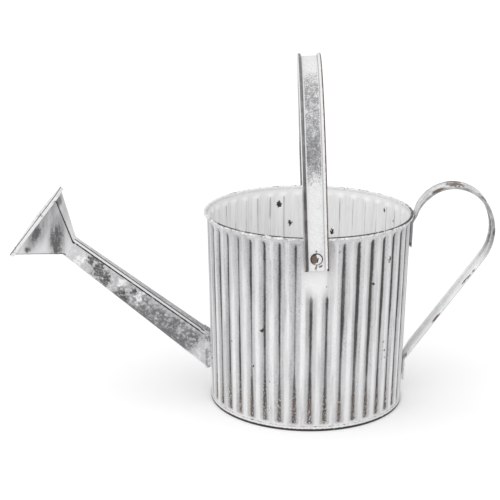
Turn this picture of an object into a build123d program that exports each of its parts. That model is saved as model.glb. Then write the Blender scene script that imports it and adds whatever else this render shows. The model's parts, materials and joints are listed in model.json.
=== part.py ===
from build123d import *
import os
from math import asin, atan, cos, degrees, pi, radians, sin, tan

# A sheet-metal watering can: a ribbed can with a wired rim and a folded foot, a straight
# tapered spout with a flat rose, a swinging bail over the mouth and a fixed loop handle.
# Millimetres, Z up. The origin is on the ground under the middle of the can, the spout
# points along -X, the loop handle along +X, and the bail swings about a line along Y.

# Sheet and gaps
SHEET = 0.5
SEAT_GAP = 0.05

# Can wall
WALL_FOOT = 0.6
WALL_TOP = 166.2
WALL_FOOT_RADIUS = 82.85
WALL_TOP_RADIUS = 86.7
RIB_COUNT = 41
GROOVE_DEPTH = 1.7
FIRST_GROOVE_ANGLE = -89.1
GROOVE_START = 5.5
GROOVE_STOP = 161.5
GROOVE_RUN_OUT = 5.0

# Seats pressed flat in the ribs, half widths in degrees seen from the can's axis
BAIL_SEAT_ANGLE = 87.0
BAIL_SEAT_FLAT = 5.5
BAIL_SEAT_BLEND = 3.5
BAIL_SEAT_BOTTOM = 127.0
TAB_SEAT_FLAT = 5.0
TAB_SEAT_BLEND = 6.0
LOWER_TAB_SEAT_TOP = 46.0
SEAT_RUN_OUT = 12.0

# Wired rim
RIM_ROLL_RADIUS = 1.5
RIM_ROLL_END = -120

# Base pan, recessed and folded round the wall's lower edge
BASE_RECESS = 3.0
HEM_HEIGHT = 3.6

# Spout
SPOUT_ROOT_X = -90.6
SPOUT_ROOT_Z = 45.7
SPOUT_RISE = 37.57
SPOUT_LENGTH = 144.5
SPOUT_ROOT_RADIUS = 13.8
SPOUT_TIP_RADIUS = 9.4
SPOUT_BURIED = 16.0
SPOUT_SEAM_START = 10.5
SPOUT_SEAM_WIDTH = 3.4
SPOUT_SEAM_HEIGHT = 0.8
SPOUT_SEAM_TURN = -33.5
SPOUT_INLET_RADIUS = 10.5
COLLAR_SHEET = 0.7
COLLAR_REACH = 5.0

# Rose
ROSE_DEPTH = 36.3
ROSE_HEIGHT = 66.5
ROSE_WIDTH = 34.0
ROSE_NECK = 18.2
ROSE_NECK_CORNER = 5.5
ROSE_CORNER = 2.0
ROSE_BULGE = 1.3
ROSE_SKIRT = 3.5
ROSE_HOLE_RADIUS = 0.9
ROSE_HOLE_PITCH = 5.2
ROSE_HOLE_MARGIN = 3.5

# Strap with rolled edges, used for the bail and for the loop handle
STRAP_WIDTH = 19.6
STRAP_SHEET = 0.9
STRAP_ROLL_RADIUS = 1.6
STRAP_ROLL_BORE = 0.8
STRAP_CRUSHED = 1.8

# Bail
PIVOT_X = 4.8
PIVOT_Z = 150.9
BAIL_SPAN = 179.2
BAIL_ARCH_CENTRE = 207.5
BAIL_LEG_END = 141.3
BAIL_LEAN = -2.5
PIVOT_FIT = 0.06
PIVOT_PLAY = 0.15

# Pivot rivets
PIVOT_RADIUS = 2.5
PIVOT_HEAD_RADIUS = 5.0
PIVOT_HEAD_HEIGHT = 2.2
SPACER_RADIUS = 6.0
SPACER_SEAT = 86.55
BURR_RADIUS = 4.5
BURR_SHEET = 0.8
BURR_SEAT = 85.2
TAIL_RADIUS = 3.6
TAIL_HEIGHT = 1.6

# Loop handle, given by the strap's flat face, which is on the outside of the loop
LOOP_CENTRE_X = 122.6
LOOP_CENTRE_Z = 158.4
LOOP_RADIUS = 33.4
LOOP_BACK_RADIUS = 44.1
LOOP_BLEND_ANGLE = 35.0
LEG_SLOPE = 35.2
UPPER_TAB_END = 138.0
UPPER_TAB_TOP = 158.5
LOWER_TAB_END = 17.5
LOWER_BEND_RADIUS = 5.0
TAB_GAP = 0.15

# Where the rolled edges are crushed on the way to the tabs: angles round the loop, length of leg
UPPER_CRUSH_ANGLES = (136.0, 142.0, 148.0, 154.0, 160.0, 166.0)
LOWER_CRUSH_LENGTH = 9.0

# Rivets of the loop handle
UPPER_RIVET_Z = 143.5
LOWER_RIVET_Z = 28.0
RIVET_RADIUS = 2.0
RIVET_HEAD_RADIUS = 4.2
RIVET_HEAD_HEIGHT = 1.4
UPPER_BURR_DROP = 1.0
LOWER_BURR_DROP = 2.8


def wall_radius(z):
    """Outer radius of the wall over its ribs at height z."""
    share = (z - WALL_FOOT) / (WALL_TOP - WALL_FOOT)
    return WALL_FOOT_RADIUS + (WALL_TOP_RADIUS - WALL_FOOT_RADIUS) * share


def seat_fade(angle, seat_angle, flat, blend):
    """0 on a seat that is pressed flat, 1 where the grooves keep their full depth."""
    away = abs((angle - seat_angle + 180) % 360 - 180)
    return min(max((away - flat) / blend, 0), 1)


def groove_depth(angle, z):
    """Depth of the groove at this angle and height."""
    if z <= GROOVE_START or z >= GROOVE_STOP:
        return 0
    depth = GROOVE_DEPTH
    upper_seat = z >= BAIL_SEAT_BOTTOM
    if upper_seat:
        for side in (-1, 1):
            depth *= seat_fade(angle, side * BAIL_SEAT_ANGLE, BAIL_SEAT_FLAT, BAIL_SEAT_BLEND)
    if upper_seat or z <= LOWER_TAB_SEAT_TOP:
        depth *= seat_fade(angle, 0, TAB_SEAT_FLAT, TAB_SEAT_BLEND)
    return depth


def polar(radius, angle, z):
    """A point at a radius and an angle round the can's axis."""
    return (radius * cos(radians(angle)), radius * sin(radians(angle)), z)


def ribbed_section(z, inset):
    """The wall's outline at height z, drawn in by inset: one arc for each rib."""
    pitch = 360 / RIB_COUNT
    crest = wall_radius(z) - inset
    arcs = []
    for rib in range(RIB_COUNT):
        start = FIRST_GROOVE_ANGLE + rib * pitch
        stop = start + pitch
        arcs.append(
            ThreePointArc(
                polar(crest - groove_depth(start, z), start, z),
                polar(crest, start + pitch / 2, z),
                polar(crest - groove_depth(stop, z), stop, z),
            )
        )
    return make_face(Wire(arcs))


def ribbed_body(inset, foot):
    """The solid inside the ribbed wall, drawn in by inset, from foot up to the plain top band."""
    levels = [
        foot,
        GROOVE_START,
        GROOVE_START + GROOVE_RUN_OUT,
        LOWER_TAB_SEAT_TOP,
        LOWER_TAB_SEAT_TOP + SEAT_RUN_OUT,
        BAIL_SEAT_BOTTOM - SEAT_RUN_OUT,
        BAIL_SEAT_BOTTOM,
        GROOVE_STOP - GROOVE_RUN_OUT,
        GROOVE_STOP,
    ]
    return loft([ribbed_section(z, inset) for z in levels], ruled=True)


def ring(inner, outer, bottom, top):
    """A plain ring about the can's axis."""
    height = top - bottom
    middle = Pos(0, 0, (top + bottom) / 2)
    return middle * (Cylinder(outer, height) - Cylinder(inner, height))


# The spout's axis starts near the wall and rises away from the can
SPOUT_DIRECTION = (-cos(radians(SPOUT_RISE)), 0, sin(radians(SPOUT_RISE)))
SPOUT_ACROSS = (sin(radians(SPOUT_RISE)), 0, cos(radians(SPOUT_RISE)))
SPOUT_TAPER = (SPOUT_ROOT_RADIUS - SPOUT_TIP_RADIUS) / SPOUT_LENGTH


def spout_plane(along):
    """A plane across the spout: local Y runs across the can, local X points up the slope."""
    origin = (
        SPOUT_ROOT_X + SPOUT_DIRECTION[0] * along,
        0,
        SPOUT_ROOT_Z + SPOUT_DIRECTION[2] * along,
    )
    return Plane(origin=origin, x_dir=SPOUT_ACROSS, z_dir=SPOUT_DIRECTION)


def spout_cone(grow, start, stop):
    """The spout's cone, grown by grow, between two places along its axis."""
    foot = SPOUT_ROOT_RADIUS - SPOUT_TAPER * start + grow
    head = SPOUT_ROOT_RADIUS - SPOUT_TAPER * stop + grow
    upright = Cone(foot, head, stop - start, align=(Align.CENTER, Align.CENTER, Align.MIN))
    return spout_plane(start) * upright


# Rim: the top edge of the wall is rolled outwards round a wire
RIM_CENTRE_RADIUS = WALL_TOP_RADIUS + RIM_ROLL_RADIUS - SHEET
RIM_WIRE_RADIUS = RIM_ROLL_RADIUS - SHEET - SEAT_GAP


def rim_point(radius, angle):
    """A point round the rim's wire in the X, Z plane."""
    return (
        RIM_CENTRE_RADIUS + radius * cos(radians(angle)),
        WALL_TOP + radius * sin(radians(angle)),
    )


def rim_profile():
    """The plain band under the rim and the sheet rolled over the wire, as one section."""
    inner = RIM_ROLL_RADIUS - SHEET
    band_outer = (wall_radius(GROOVE_STOP), GROOVE_STOP)
    band_inner = (wall_radius(GROOVE_STOP) - SHEET, GROOVE_STOP)
    middle = (180 + RIM_ROLL_END) / 2
    edges = [
        Line(band_outer, band_inner),
        Line(band_inner, rim_point(RIM_ROLL_RADIUS, 180)),
        ThreePointArc(*[rim_point(RIM_ROLL_RADIUS, angle) for angle in (180, middle, RIM_ROLL_END)]),
        Line(rim_point(RIM_ROLL_RADIUS, RIM_ROLL_END), rim_point(inner, RIM_ROLL_END)),
        ThreePointArc(*[rim_point(inner, angle) for angle in (RIM_ROLL_END, middle, 180)]),
        Line(rim_point(inner, 180), band_outer),
    ]
    return Plane.XZ * make_face(Wire(edges))


def pivot_drill(radius):
    """A rod along the bail's swing axis, long enough to pass both sides of the can."""
    return Pos(PIVOT_X, 0, PIVOT_Z) * Rot(90, 0, 0) * Cylinder(radius, 2 * BAIL_SPAN)


def tab_plane(z, lean, x):
    """A plane on the flat face of a handle tab, with local Z pointing away from the can."""
    outward = (cos(radians(lean)), 0, -sin(radians(lean)))
    return Plane(origin=(x, 0, z), x_dir=(0, 1, 0), z_dir=outward)


# The wall's own slope, and the handle's path in the X, Z plane
WALL_LEAN = (WALL_TOP_RADIUS - WALL_FOOT_RADIUS) / (WALL_TOP - WALL_FOOT)


def loop_point(centre, radius, angle):
    """A point on one of the loop's arcs."""
    return (centre[0] + radius * cos(radians(angle)), centre[1] + radius * sin(radians(angle)))


def lower_tab_x(z):
    """Where the lower tab's flat face stands at height z, its crushed edges against the wall."""
    return wall_radius(z) + TAB_GAP + STRAP_CRUSHED


def upper_tab_x(z):
    """Where the upper tab's flat face lies on the wall at height z."""
    return wall_radius(z) + TAB_GAP


LOOP_CENTRE = (LOOP_CENTRE_X, LOOP_CENTRE_Z)
LOOP_BACK_CENTRE = loop_point(LOOP_CENTRE, LOOP_RADIUS - LOOP_BACK_RADIUS, LOOP_BLEND_ANGLE)
LEG_TOP = loop_point(LOOP_BACK_CENTRE, LOOP_BACK_RADIUS, -LEG_SLOPE)
LEG_RUN = tan(radians(LEG_SLOPE))
LEG_DROP = (LEG_TOP[0] - lower_tab_x(LEG_TOP[1])) / (LEG_RUN - WALL_LEAN)


def leg_point(drop):
    """A point of the leg's flat face, drop below the leg's top."""
    return (LEG_TOP[0] - drop * LEG_RUN, LEG_TOP[1] - drop)


LEG_CRUSH_STOP = LEG_DROP - LOWER_BEND_RADIUS / 2
LEG_CRUSH_START = LEG_CRUSH_STOP - LOWER_CRUSH_LENGTH


def strap_section(thickness):
    """The strap's section: local X across it, flat side at local Y = 0, its edges rolled or crushed."""
    roll_x = STRAP_WIDTH / 2 - STRAP_ROLL_RADIUS
    half = thickness / 2
    foot = asin((STRAP_SHEET - half) / half)
    rolls = []
    for side in (1, -1):
        turn = [-pi / 2 + (pi / 2 + pi - foot) * step / 12 for step in range(13)]
        rolls.append(
            [(side * (roll_x + STRAP_ROLL_RADIUS * cos(a)), half + half * sin(a)) for a in turn]
        )
    right, left = rolls
    edges = [
        Line(left[0], right[0]),
        Spline(*right),
        Line(right[-1], left[-1]),
        Spline(*left[::-1]),
    ]
    return make_face(Wire([edge.edge() for edge in edges]))


def strap_plane(point, along):
    """A plane across the handle's strap at a point of its flat face, local Z along the strap."""
    return Plane(origin=(point[0], 0, point[1]), x_dir=(0, -1, 0), z_dir=(along[0], 0, along[1]))


def loop_plane(angle):
    """A plane across the strap on the loop's first arc."""
    along = (sin(radians(angle)), -cos(radians(angle)))
    return strap_plane(loop_point(LOOP_CENTRE, LOOP_RADIUS, angle), along)


def leg_plane(drop):
    """A plane across the strap on the leg."""
    return strap_plane(leg_point(drop), (-LEG_RUN, -1))


def in_can_plane(*pieces):
    """One wire in the X, Z plane."""
    return Plane.XZ * Wire([edge for piece in pieces for edge in piece.edges()])


def upper_tab_path():
    """The flat face from the tab's end up the wall and round the rim to the loop."""
    end = (upper_tab_x(UPPER_TAB_END), UPPER_TAB_END)
    top = (upper_tab_x(UPPER_TAB_TOP), UPPER_TAB_TOP)
    angle = UPPER_CRUSH_ANGLES[-1]
    along = (sin(radians(angle)), -cos(radians(angle)))
    rim = loop_point(LOOP_CENTRE, LOOP_RADIUS, angle)
    return in_can_plane(Line(end, top), Spline(top, rim, tangents=[(WALL_LEAN, 1), along]))


def loop_path():
    """The flat face over the loop and down the leg, where the edges are fully rolled."""
    first = UPPER_CRUSH_ANGLES[0]
    start = loop_point(LOOP_CENTRE, LOOP_RADIUS, first)
    top = loop_point(LOOP_CENTRE, LOOP_RADIUS, (first + LOOP_BLEND_ANGLE) / 2)
    blend = loop_point(LOOP_CENTRE, LOOP_RADIUS, LOOP_BLEND_ANGLE)
    back = loop_point(LOOP_BACK_CENTRE, LOOP_BACK_RADIUS, (LOOP_BLEND_ANGLE - LEG_SLOPE) / 2)
    return in_can_plane(
        ThreePointArc(start, top, blend),
        ThreePointArc(blend, back, LEG_TOP),
        Line(LEG_TOP, leg_point(LEG_CRUSH_START)),
    )


def lower_tab_path():
    """The flat face round the lower bend and down the tab."""
    tab_end = (lower_tab_x(LOWER_TAB_END), LOWER_TAB_END)
    corner = leg_point(LEG_DROP)
    return in_can_plane(
        FilletPolyline(leg_point(LEG_CRUSH_STOP), corner, tab_end, radius=LOWER_BEND_RADIUS)
    )


def dome(radius, height):
    """A low domed head on local Z = 0, flat underneath."""
    ball = (radius**2 + height**2) / (2 * height)
    sphere = Pos(0, 0, height - ball) * Sphere(ball)
    keep = Cylinder(radius, height, align=(Align.CENTER, Align.CENTER, Align.MIN))
    return sphere & keep


def rod(radius, bottom, top):
    """A round rod on local Z."""
    return Pos(0, 0, bottom) * Cylinder(radius, top - bottom, align=(Align.CENTER, Align.CENTER, Align.MIN))


def washer(bore, radius, bottom, top):
    """A flat washer on local Z."""
    return rod(radius, bottom, top) - rod(bore, bottom, top)


def rivet(radius, head_radius, head_height, head_seat, tail_seat):
    """A rivet on local Z: domed head above head_seat, peened tail below tail_seat."""
    tail = Pos(0, 0, tail_seat) * Rot(180, 0, 0) * dome(TAIL_RADIUS, TAIL_HEIGHT)
    head = Pos(0, 0, head_seat) * dome(head_radius, head_height)
    return rod(radius, tail_seat, head_seat) + head + tail


def make_body_shell():
    """Ribbed wall with its rolled rim, the spout's inlet and the rivet holes."""
    inlet = spout_plane(0) * rod(SPOUT_INLET_RADIUS, -2 * SPOUT_BURIED, SPOUT_BURIED)
    holes = [inlet, pivot_drill(PIVOT_RADIUS + SEAT_GAP)]
    for plane in (upper_rivet_plane(), lower_rivet_plane()):
        holes.append(plane * tab_drill())
    wall = ribbed_body(0, WALL_FOOT) - ribbed_body(SHEET, WALL_FOOT) - holes
    return wall + revolve(rim_profile(), Axis.Z)


def make_rim_wire():
    """The wire inside the rolled rim."""
    return Pos(0, 0, WALL_TOP) * Torus(RIM_CENTRE_RADIUS, RIM_WIRE_RADIUS)


def make_base_pan():
    """Recessed floor, its skirt inside the wall, and the hem folded up outside the wall."""
    skirt_outer = WALL_FOOT_RADIUS - SHEET - SEAT_GAP
    skirt_inner = skirt_outer - SHEET
    hem_inner = wall_radius(HEM_HEIGHT) + SEAT_GAP
    hem_outer = hem_inner + SHEET
    floor = Pos(0, 0, BASE_RECESS + SHEET / 2) * Cylinder(skirt_outer, SHEET)
    skirt = ring(skirt_inner, skirt_outer, 0, BASE_RECESS + SHEET)
    fold = ring(skirt_inner, hem_outer, 0, SHEET)
    hem = ring(hem_inner, hem_outer, 0, HEM_HEIGHT)
    return floor + skirt + fold + hem


def make_spout_tube():
    """Tapered tube with a folded seam along its near side, its root cut to sit on the ribs."""
    tube = spout_cone(0, -SPOUT_BURIED, SPOUT_LENGTH)
    middle = (SPOUT_SEAM_START + SPOUT_LENGTH) / 2
    radius = SPOUT_ROOT_RADIUS - SPOUT_TAPER * middle
    lay = Pos(radius, 0, 0) * Rot(0, -degrees(atan(SPOUT_TAPER)), 0)
    bar = Box(2 * SPOUT_SEAM_HEIGHT, SPOUT_SEAM_WIDTH, SPOUT_LENGTH - SPOUT_SEAM_START)
    tube += spout_plane(middle) * Rot(0, 0, SPOUT_SEAM_TURN) * lay * bar
    tube -= spout_cone(-SHEET, -SPOUT_BURIED, SPOUT_LENGTH)
    trim = spout_plane(SPOUT_LENGTH) * rod(2 * SPOUT_ROOT_RADIUS, 0, SPOUT_BURIED)
    return tube - trim - ribbed_body(-SEAT_GAP, 0)


def make_spout_collar():
    """Flanged sleeve round the spout's root, its outer edge parallel to the wall."""
    sleeve = spout_cone(SEAT_GAP + COLLAR_SHEET, -SPOUT_BURIED, SPOUT_LENGTH / 3)
    sleeve -= spout_cone(SEAT_GAP, -SPOUT_BURIED, SPOUT_LENGTH / 3)
    reach = Cone(
        wall_radius(0) + COLLAR_REACH,
        wall_radius(WALL_TOP) + COLLAR_REACH,
        WALL_TOP,
        align=(Align.CENTER, Align.CENTER, Align.MIN),
    )
    return (sleeve & reach) - ribbed_body(-SEAT_GAP, 0)


def rose_outline(height, width, corner, along):
    """A rounded rectangle across the spout's axis."""
    return spout_plane(along) * RectangleRounded(height, width, corner)


def rose_pyramid(inset, start, stop):
    """The rose's four-sided funnel, drawn in by inset, between two places along the axis."""
    neck = ROSE_NECK - 2 * inset
    mouth_height = ROSE_HEIGHT - 2 * (SHEET + SEAT_GAP + inset)
    mouth_width = ROSE_WIDTH - 2 * (SHEET + SEAT_GAP + inset)
    return loft(
        [
            rose_outline(neck, neck, ROSE_NECK_CORNER, start),
            rose_outline(mouth_height, mouth_width, ROSE_CORNER, stop),
        ],
        ruled=True,
    )


ROSE_NECK_PLACE = SPOUT_LENGTH + SEAT_GAP
ROSE_FACE_PLACE = SPOUT_LENGTH + ROSE_DEPTH


def make_rose_funnel():
    """Four-sided sheet funnel from the spout's tip to the rose's mouth."""
    stop = ROSE_FACE_PLACE - SHEET - SEAT_GAP
    return rose_pyramid(0, ROSE_NECK_PLACE, stop) - rose_pyramid(SHEET, ROSE_NECK_PLACE, stop)


def rose_cap(inset):
    """The bulged block of the rose's cap, drawn in by inset."""
    half = ROSE_HEIGHT / 2
    bulge_radius = (half**2 + ROSE_BULGE**2) / (2 * ROSE_BULGE)
    outline = rose_outline(
        ROSE_HEIGHT - 2 * inset,
        ROSE_WIDTH - 2 * inset,
        ROSE_CORNER,
        ROSE_FACE_PLACE - ROSE_SKIRT,
    )
    block = extrude(outline, ROSE_SKIRT + ROSE_BULGE, dir=SPOUT_DIRECTION)
    barrel = Rot(90, 0, 0) * Cylinder(bulge_radius - inset, 2 * ROSE_WIDTH)
    return block & (spout_plane(ROSE_FACE_PLACE + ROSE_BULGE - bulge_radius) * barrel)


def make_rose_face():
    """Perforated cap whose skirt is pressed over the funnel's mouth."""
    cap = rose_cap(0) - rose_cap(SHEET)
    rows = int((ROSE_HEIGHT - 2 * ROSE_HOLE_MARGIN) / ROSE_HOLE_PITCH)
    columns = int((ROSE_WIDTH - 2 * ROSE_HOLE_MARGIN) / ROSE_HOLE_PITCH)
    grid = GridLocations(ROSE_HOLE_PITCH, ROSE_HOLE_PITCH, rows + 1, columns + 1)
    punch = rod(ROSE_HOLE_RADIUS, 0, ROSE_SKIRT + 2 * ROSE_BULGE)
    punches = [spout_plane(ROSE_FACE_PLACE - ROSE_SKIRT) * place * punch for place in grid]
    return cap - punches


def bail_section():
    """The bail's section: local X across the strap, flat side at local Y = 0, hollow rolled edges."""
    roll_x = STRAP_WIDTH / 2 - STRAP_ROLL_RADIUS
    section = Pos(0, STRAP_SHEET / 2) * Rectangle(2 * roll_x, STRAP_SHEET)
    for side in (-1, 1):
        section += Pos(side * roll_x, STRAP_ROLL_RADIUS) * Circle(STRAP_ROLL_RADIUS)
    for side in (-1, 1):
        section -= Pos(side * roll_x, STRAP_ROLL_RADIUS) * Circle(STRAP_ROLL_BORE)
    return section


def make_bail_strap():
    """Rolled-edge strap bent to an arch with two straight legs, drilled for the pivots."""
    half = BAIL_SPAN / 2
    front = [(PIVOT_X, -half, BAIL_LEG_END), (PIVOT_X, -half, BAIL_ARCH_CENTRE)]
    rear = [(PIVOT_X, half, BAIL_ARCH_CENTRE), (PIVOT_X, half, BAIL_LEG_END)]
    top = (PIVOT_X, 0, BAIL_ARCH_CENTRE + half)
    path = Wire([Line(*front).edge(), ThreePointArc(front[1], top, rear[0]).edge(), Line(*rear).edge()])
    start = Plane(origin=front[0], x_dir=(-1, 0, 0), z_dir=(0, 0, 1))
    strap = sweep(start * bail_section(), path)
    strap -= pivot_drill(PIVOT_RADIUS + PIVOT_FIT)
    return strap.rotate(Axis((PIVOT_X, 0, PIVOT_Z), (0, 1, 0)), BAIL_LEAN)


def pivot_plane(side):
    """A plane on the can's middle plane at one pivot, with local Z pointing out."""
    return Plane(origin=(PIVOT_X, 0, PIVOT_Z), x_dir=(1, 0, 0), z_dir=(0, side, 0))


def make_pivot_rivet(side):
    """Domed rivet that the bail turns on."""
    head_seat = BAIL_SPAN / 2 + STRAP_SHEET + PIVOT_PLAY
    tail_seat = BURR_SEAT - BURR_SHEET
    return pivot_plane(side) * rivet(PIVOT_RADIUS, PIVOT_HEAD_RADIUS, PIVOT_HEAD_HEIGHT, head_seat, tail_seat)


def make_pivot_spacer(side):
    """Spacer washer that keeps the bail clear of the rim."""
    outer_face = BAIL_SPAN / 2 - PIVOT_PLAY
    return pivot_plane(side) * washer(PIVOT_RADIUS + SEAT_GAP, SPACER_RADIUS, SPACER_SEAT, outer_face)


def make_pivot_burr(side):
    """Washer inside the can, under the rivet's peened tail."""
    bore = PIVOT_RADIUS + SEAT_GAP
    return pivot_plane(side) * washer(bore, BURR_RADIUS, BURR_SEAT - BURR_SHEET + SEAT_GAP, BURR_SEAT)


def upper_rivet_plane():
    """The plane of the upper handle rivet, on the tab's flat face."""
    return tab_plane(UPPER_RIVET_Z, degrees(atan(WALL_LEAN)), upper_tab_x(UPPER_RIVET_Z))


def lower_rivet_plane():
    """The plane of the lower handle rivet, on the tab's flat face."""
    return tab_plane(LOWER_RIVET_Z, degrees(atan(WALL_LEAN)), lower_tab_x(LOWER_RIVET_Z))


def tab_drill():
    """The hole for a handle rivet, through the tab and the wall."""
    return rod(RIVET_RADIUS + SEAT_GAP, -2 * BURR_RADIUS, BURR_RADIUS)


def make_handle_strap():
    """Rolled-edge strap bent to the loop handle, its edges crushed flat at the riveted tabs."""
    rolled = 2 * STRAP_ROLL_RADIUS
    tab_start = strap_plane((upper_tab_x(UPPER_TAB_END), UPPER_TAB_END), (WALL_LEAN, 1))
    strap = sweep(tab_start * strap_section(STRAP_CRUSHED), upper_tab_path())
    last = len(UPPER_CRUSH_ANGLES) - 1
    crush = []
    for step, angle in enumerate(UPPER_CRUSH_ANGLES):
        thickness = rolled + (STRAP_CRUSHED - rolled) * step / last
        crush.append(loop_plane(angle) * strap_section(thickness))
    strap += loft(crush)
    strap += sweep(loop_plane(UPPER_CRUSH_ANGLES[0]) * strap_section(rolled), loop_path())
    strap += loft(
        [
            leg_plane(LEG_CRUSH_START) * strap_section(rolled),
            leg_plane(LEG_CRUSH_STOP) * strap_section(STRAP_CRUSHED),
        ],
        ruled=True,
    )
    strap += sweep(leg_plane(LEG_CRUSH_STOP) * strap_section(STRAP_CRUSHED), lower_tab_path())
    for plane in (upper_rivet_plane(), lower_rivet_plane()):
        strap -= plane * tab_drill()
    return strap


def make_handle_rivet(plane, tab_sheet, burr_drop):
    """Domed rivet through one tab of the handle, the wall and the washer behind it."""
    head_seat = tab_sheet + SEAT_GAP
    tail_seat = -burr_drop - BURR_SHEET - SEAT_GAP
    return plane * rivet(RIVET_RADIUS, RIVET_HEAD_RADIUS, RIVET_HEAD_HEIGHT, head_seat, tail_seat)


def make_handle_burr(plane, burr_drop):
    """Washer inside the can, under one handle rivet's peened tail."""
    return plane * washer(RIVET_RADIUS + SEAT_GAP, BURR_RADIUS, -burr_drop - BURR_SHEET, -burr_drop)


def all_parts():
    """Every piece of the can by name."""
    parts = {
        "body_shell": make_body_shell(),
        "rim_wire": make_rim_wire(),
        "base_pan": make_base_pan(),
        "spout_tube": make_spout_tube(),
        "spout_collar": make_spout_collar(),
        "rose_funnel": make_rose_funnel(),
        "rose_face": make_rose_face(),
        "bail_strap": make_bail_strap(),
        "handle_strap": make_handle_strap(),
    }
    for name, side in (("front", -1), ("rear", 1)):
        parts["bail_rivet_" + name] = make_pivot_rivet(side)
        parts["bail_spacer_" + name] = make_pivot_spacer(side)
        parts["bail_burr_" + name] = make_pivot_burr(side)
    tabs = (
        ("upper", upper_rivet_plane(), STRAP_SHEET, UPPER_BURR_DROP),
        ("lower", lower_rivet_plane(), 0, LOWER_BURR_DROP),
    )
    for name, plane, tab_sheet, burr_drop in tabs:
        parts["handle_rivet_" + name] = make_handle_rivet(plane, tab_sheet, burr_drop)
        parts["handle_burr_" + name] = make_handle_burr(plane, burr_drop)
    return parts


def main():
    """Write every piece to its own file."""
    os.makedirs("parts", exist_ok=True)
    for name, part in all_parts().items():
        export_step(part, "parts/" + name + ".step")
        print(name, round(part.volume, 1))


if __name__ == "__main__":
    main()
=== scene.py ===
import json
from math import asin, atan2, cos, hypot, pi, radians, sin, tan

import bpy
from bpy.props import FloatProperty, FloatVectorProperty, IntProperty, PointerProperty
from bpy.types import Operator, Panel, PropertyGroup
from mathutils import Matrix, Vector


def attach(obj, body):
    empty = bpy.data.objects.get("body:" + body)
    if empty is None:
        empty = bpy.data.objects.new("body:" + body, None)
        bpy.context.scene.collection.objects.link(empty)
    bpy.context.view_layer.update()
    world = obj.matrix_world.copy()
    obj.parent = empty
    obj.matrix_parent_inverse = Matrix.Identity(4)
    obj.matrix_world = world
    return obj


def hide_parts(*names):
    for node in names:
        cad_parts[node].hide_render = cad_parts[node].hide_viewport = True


bl_info = {
    "name": "Whitewashed Watering Can",
    "version": (1, 0, 0),
    "blender": (4, 5, 0),
    "location": "3D View > Sidebar > Watering Can",
    "description": "Models and paints a ribbed sheet-metal watering can on its packed frame",
    "category": "Add Mesh",
}

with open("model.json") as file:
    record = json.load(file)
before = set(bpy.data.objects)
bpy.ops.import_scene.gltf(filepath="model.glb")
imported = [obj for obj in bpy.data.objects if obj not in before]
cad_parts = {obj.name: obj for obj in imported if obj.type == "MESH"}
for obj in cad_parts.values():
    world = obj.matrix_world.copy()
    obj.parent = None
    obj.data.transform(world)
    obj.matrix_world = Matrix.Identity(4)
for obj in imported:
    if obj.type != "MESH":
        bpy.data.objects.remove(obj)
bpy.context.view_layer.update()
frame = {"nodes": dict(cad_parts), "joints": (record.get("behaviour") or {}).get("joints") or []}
MM = 0.001

# Can wall: a slightly conical sheet, wider at the top
WALL_FOOT = 0.6 * MM
WALL_TOP = 166.2 * MM
WALL_FOOT_RADIUS = 82.85 * MM
WALL_TOP_RADIUS = 86.7 * MM
WALL_LEAN = (WALL_TOP_RADIUS - WALL_FOOT_RADIUS) / (WALL_TOP - WALL_FOOT)
FIRST_GROOVE = radians(-89.1)
GROOVE_START = 4.4 * MM
GROOVE_STOP = 163.0 * MM
GROOVE_RUN_OUT = 2.6 * MM
GROOVE_TOP_RUN_OUT = 5.0 * MM
FACES_PER_RIB = 12

# Seats pressed flat in the ribs: where they are, how wide, and how they run out up, down and sideways
SEAT_RUN_OUT = 12.0 * MM
BAIL_SEAT_ANGLE = radians(87)
BAIL_SEAT_WIDTH = radians(5.5)
BAIL_SEAT_BLEND = radians(3.5)
UPPER_SEAT_BOTTOM = 127.0 * MM
TAB_SEAT_WIDTH = radians(5)
TAB_SEAT_BLEND = radians(6)
LOWER_SEAT_TOP = 46.0 * MM

# Rim and foot
RIM_ROLL_END = radians(-120)
BASE_RECESS = 3.0 * MM
HEM_HEIGHT = 3.6 * MM
SEAT_GAP = 0.05 * MM

# Spout and rose
SPOUT_ROOT = Vector((-90.6, 0, 45.7)) * MM
SPOUT_RISE = radians(37.57)
SPOUT_LENGTH = 144.5 * MM
SPOUT_ROOT_RADIUS = 13.8 * MM
SPOUT_TIP_RADIUS = 9.4 * MM
SPOUT_TAPER = (SPOUT_ROOT_RADIUS - SPOUT_TIP_RADIUS) / SPOUT_LENGTH
SPOUT_BURIED = 16.0 * MM
SPOUT_INLET_RADIUS = 10.5 * MM
SEAM_START = 10.5 * MM
SEAM_WIDTH = 3.4 * MM
SEAM_HEIGHT = 0.8 * MM
SEAM_TURN = radians(-33.5)
COLLAR_SHEET = 0.7 * MM
COLLAR_REACH = 5.0 * MM
ROSE_DEPTH = 36.3 * MM
ROSE_HEIGHT = 65.4 * MM
ROSE_WIDTH = 32.9 * MM
ROSE_CORNER = 2.0 * MM
ROSE_NECK_PLAY = 0.2 * MM
ROSE_NECK_OVERLAP = 2.0 * MM
ROSE_NECK_LENGTH = 2.4 * MM
ROSE_NECK_FLAT = 0.05 * MM
ROSE_ROWS = 14

# Bail
PIVOT = Vector(frame["joints"][0]["pos_m"])
BAIL_SPAN = 179.2 * MM
BAIL_ARCH_CENTRE = 207.5 * MM
BAIL_LEG_END = 141.3 * MM
BAIL_LEAN = radians(-2.5)
PIVOT_RADIUS = 2.5 * MM
PIVOT_FIT = 0.06 * MM

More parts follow.
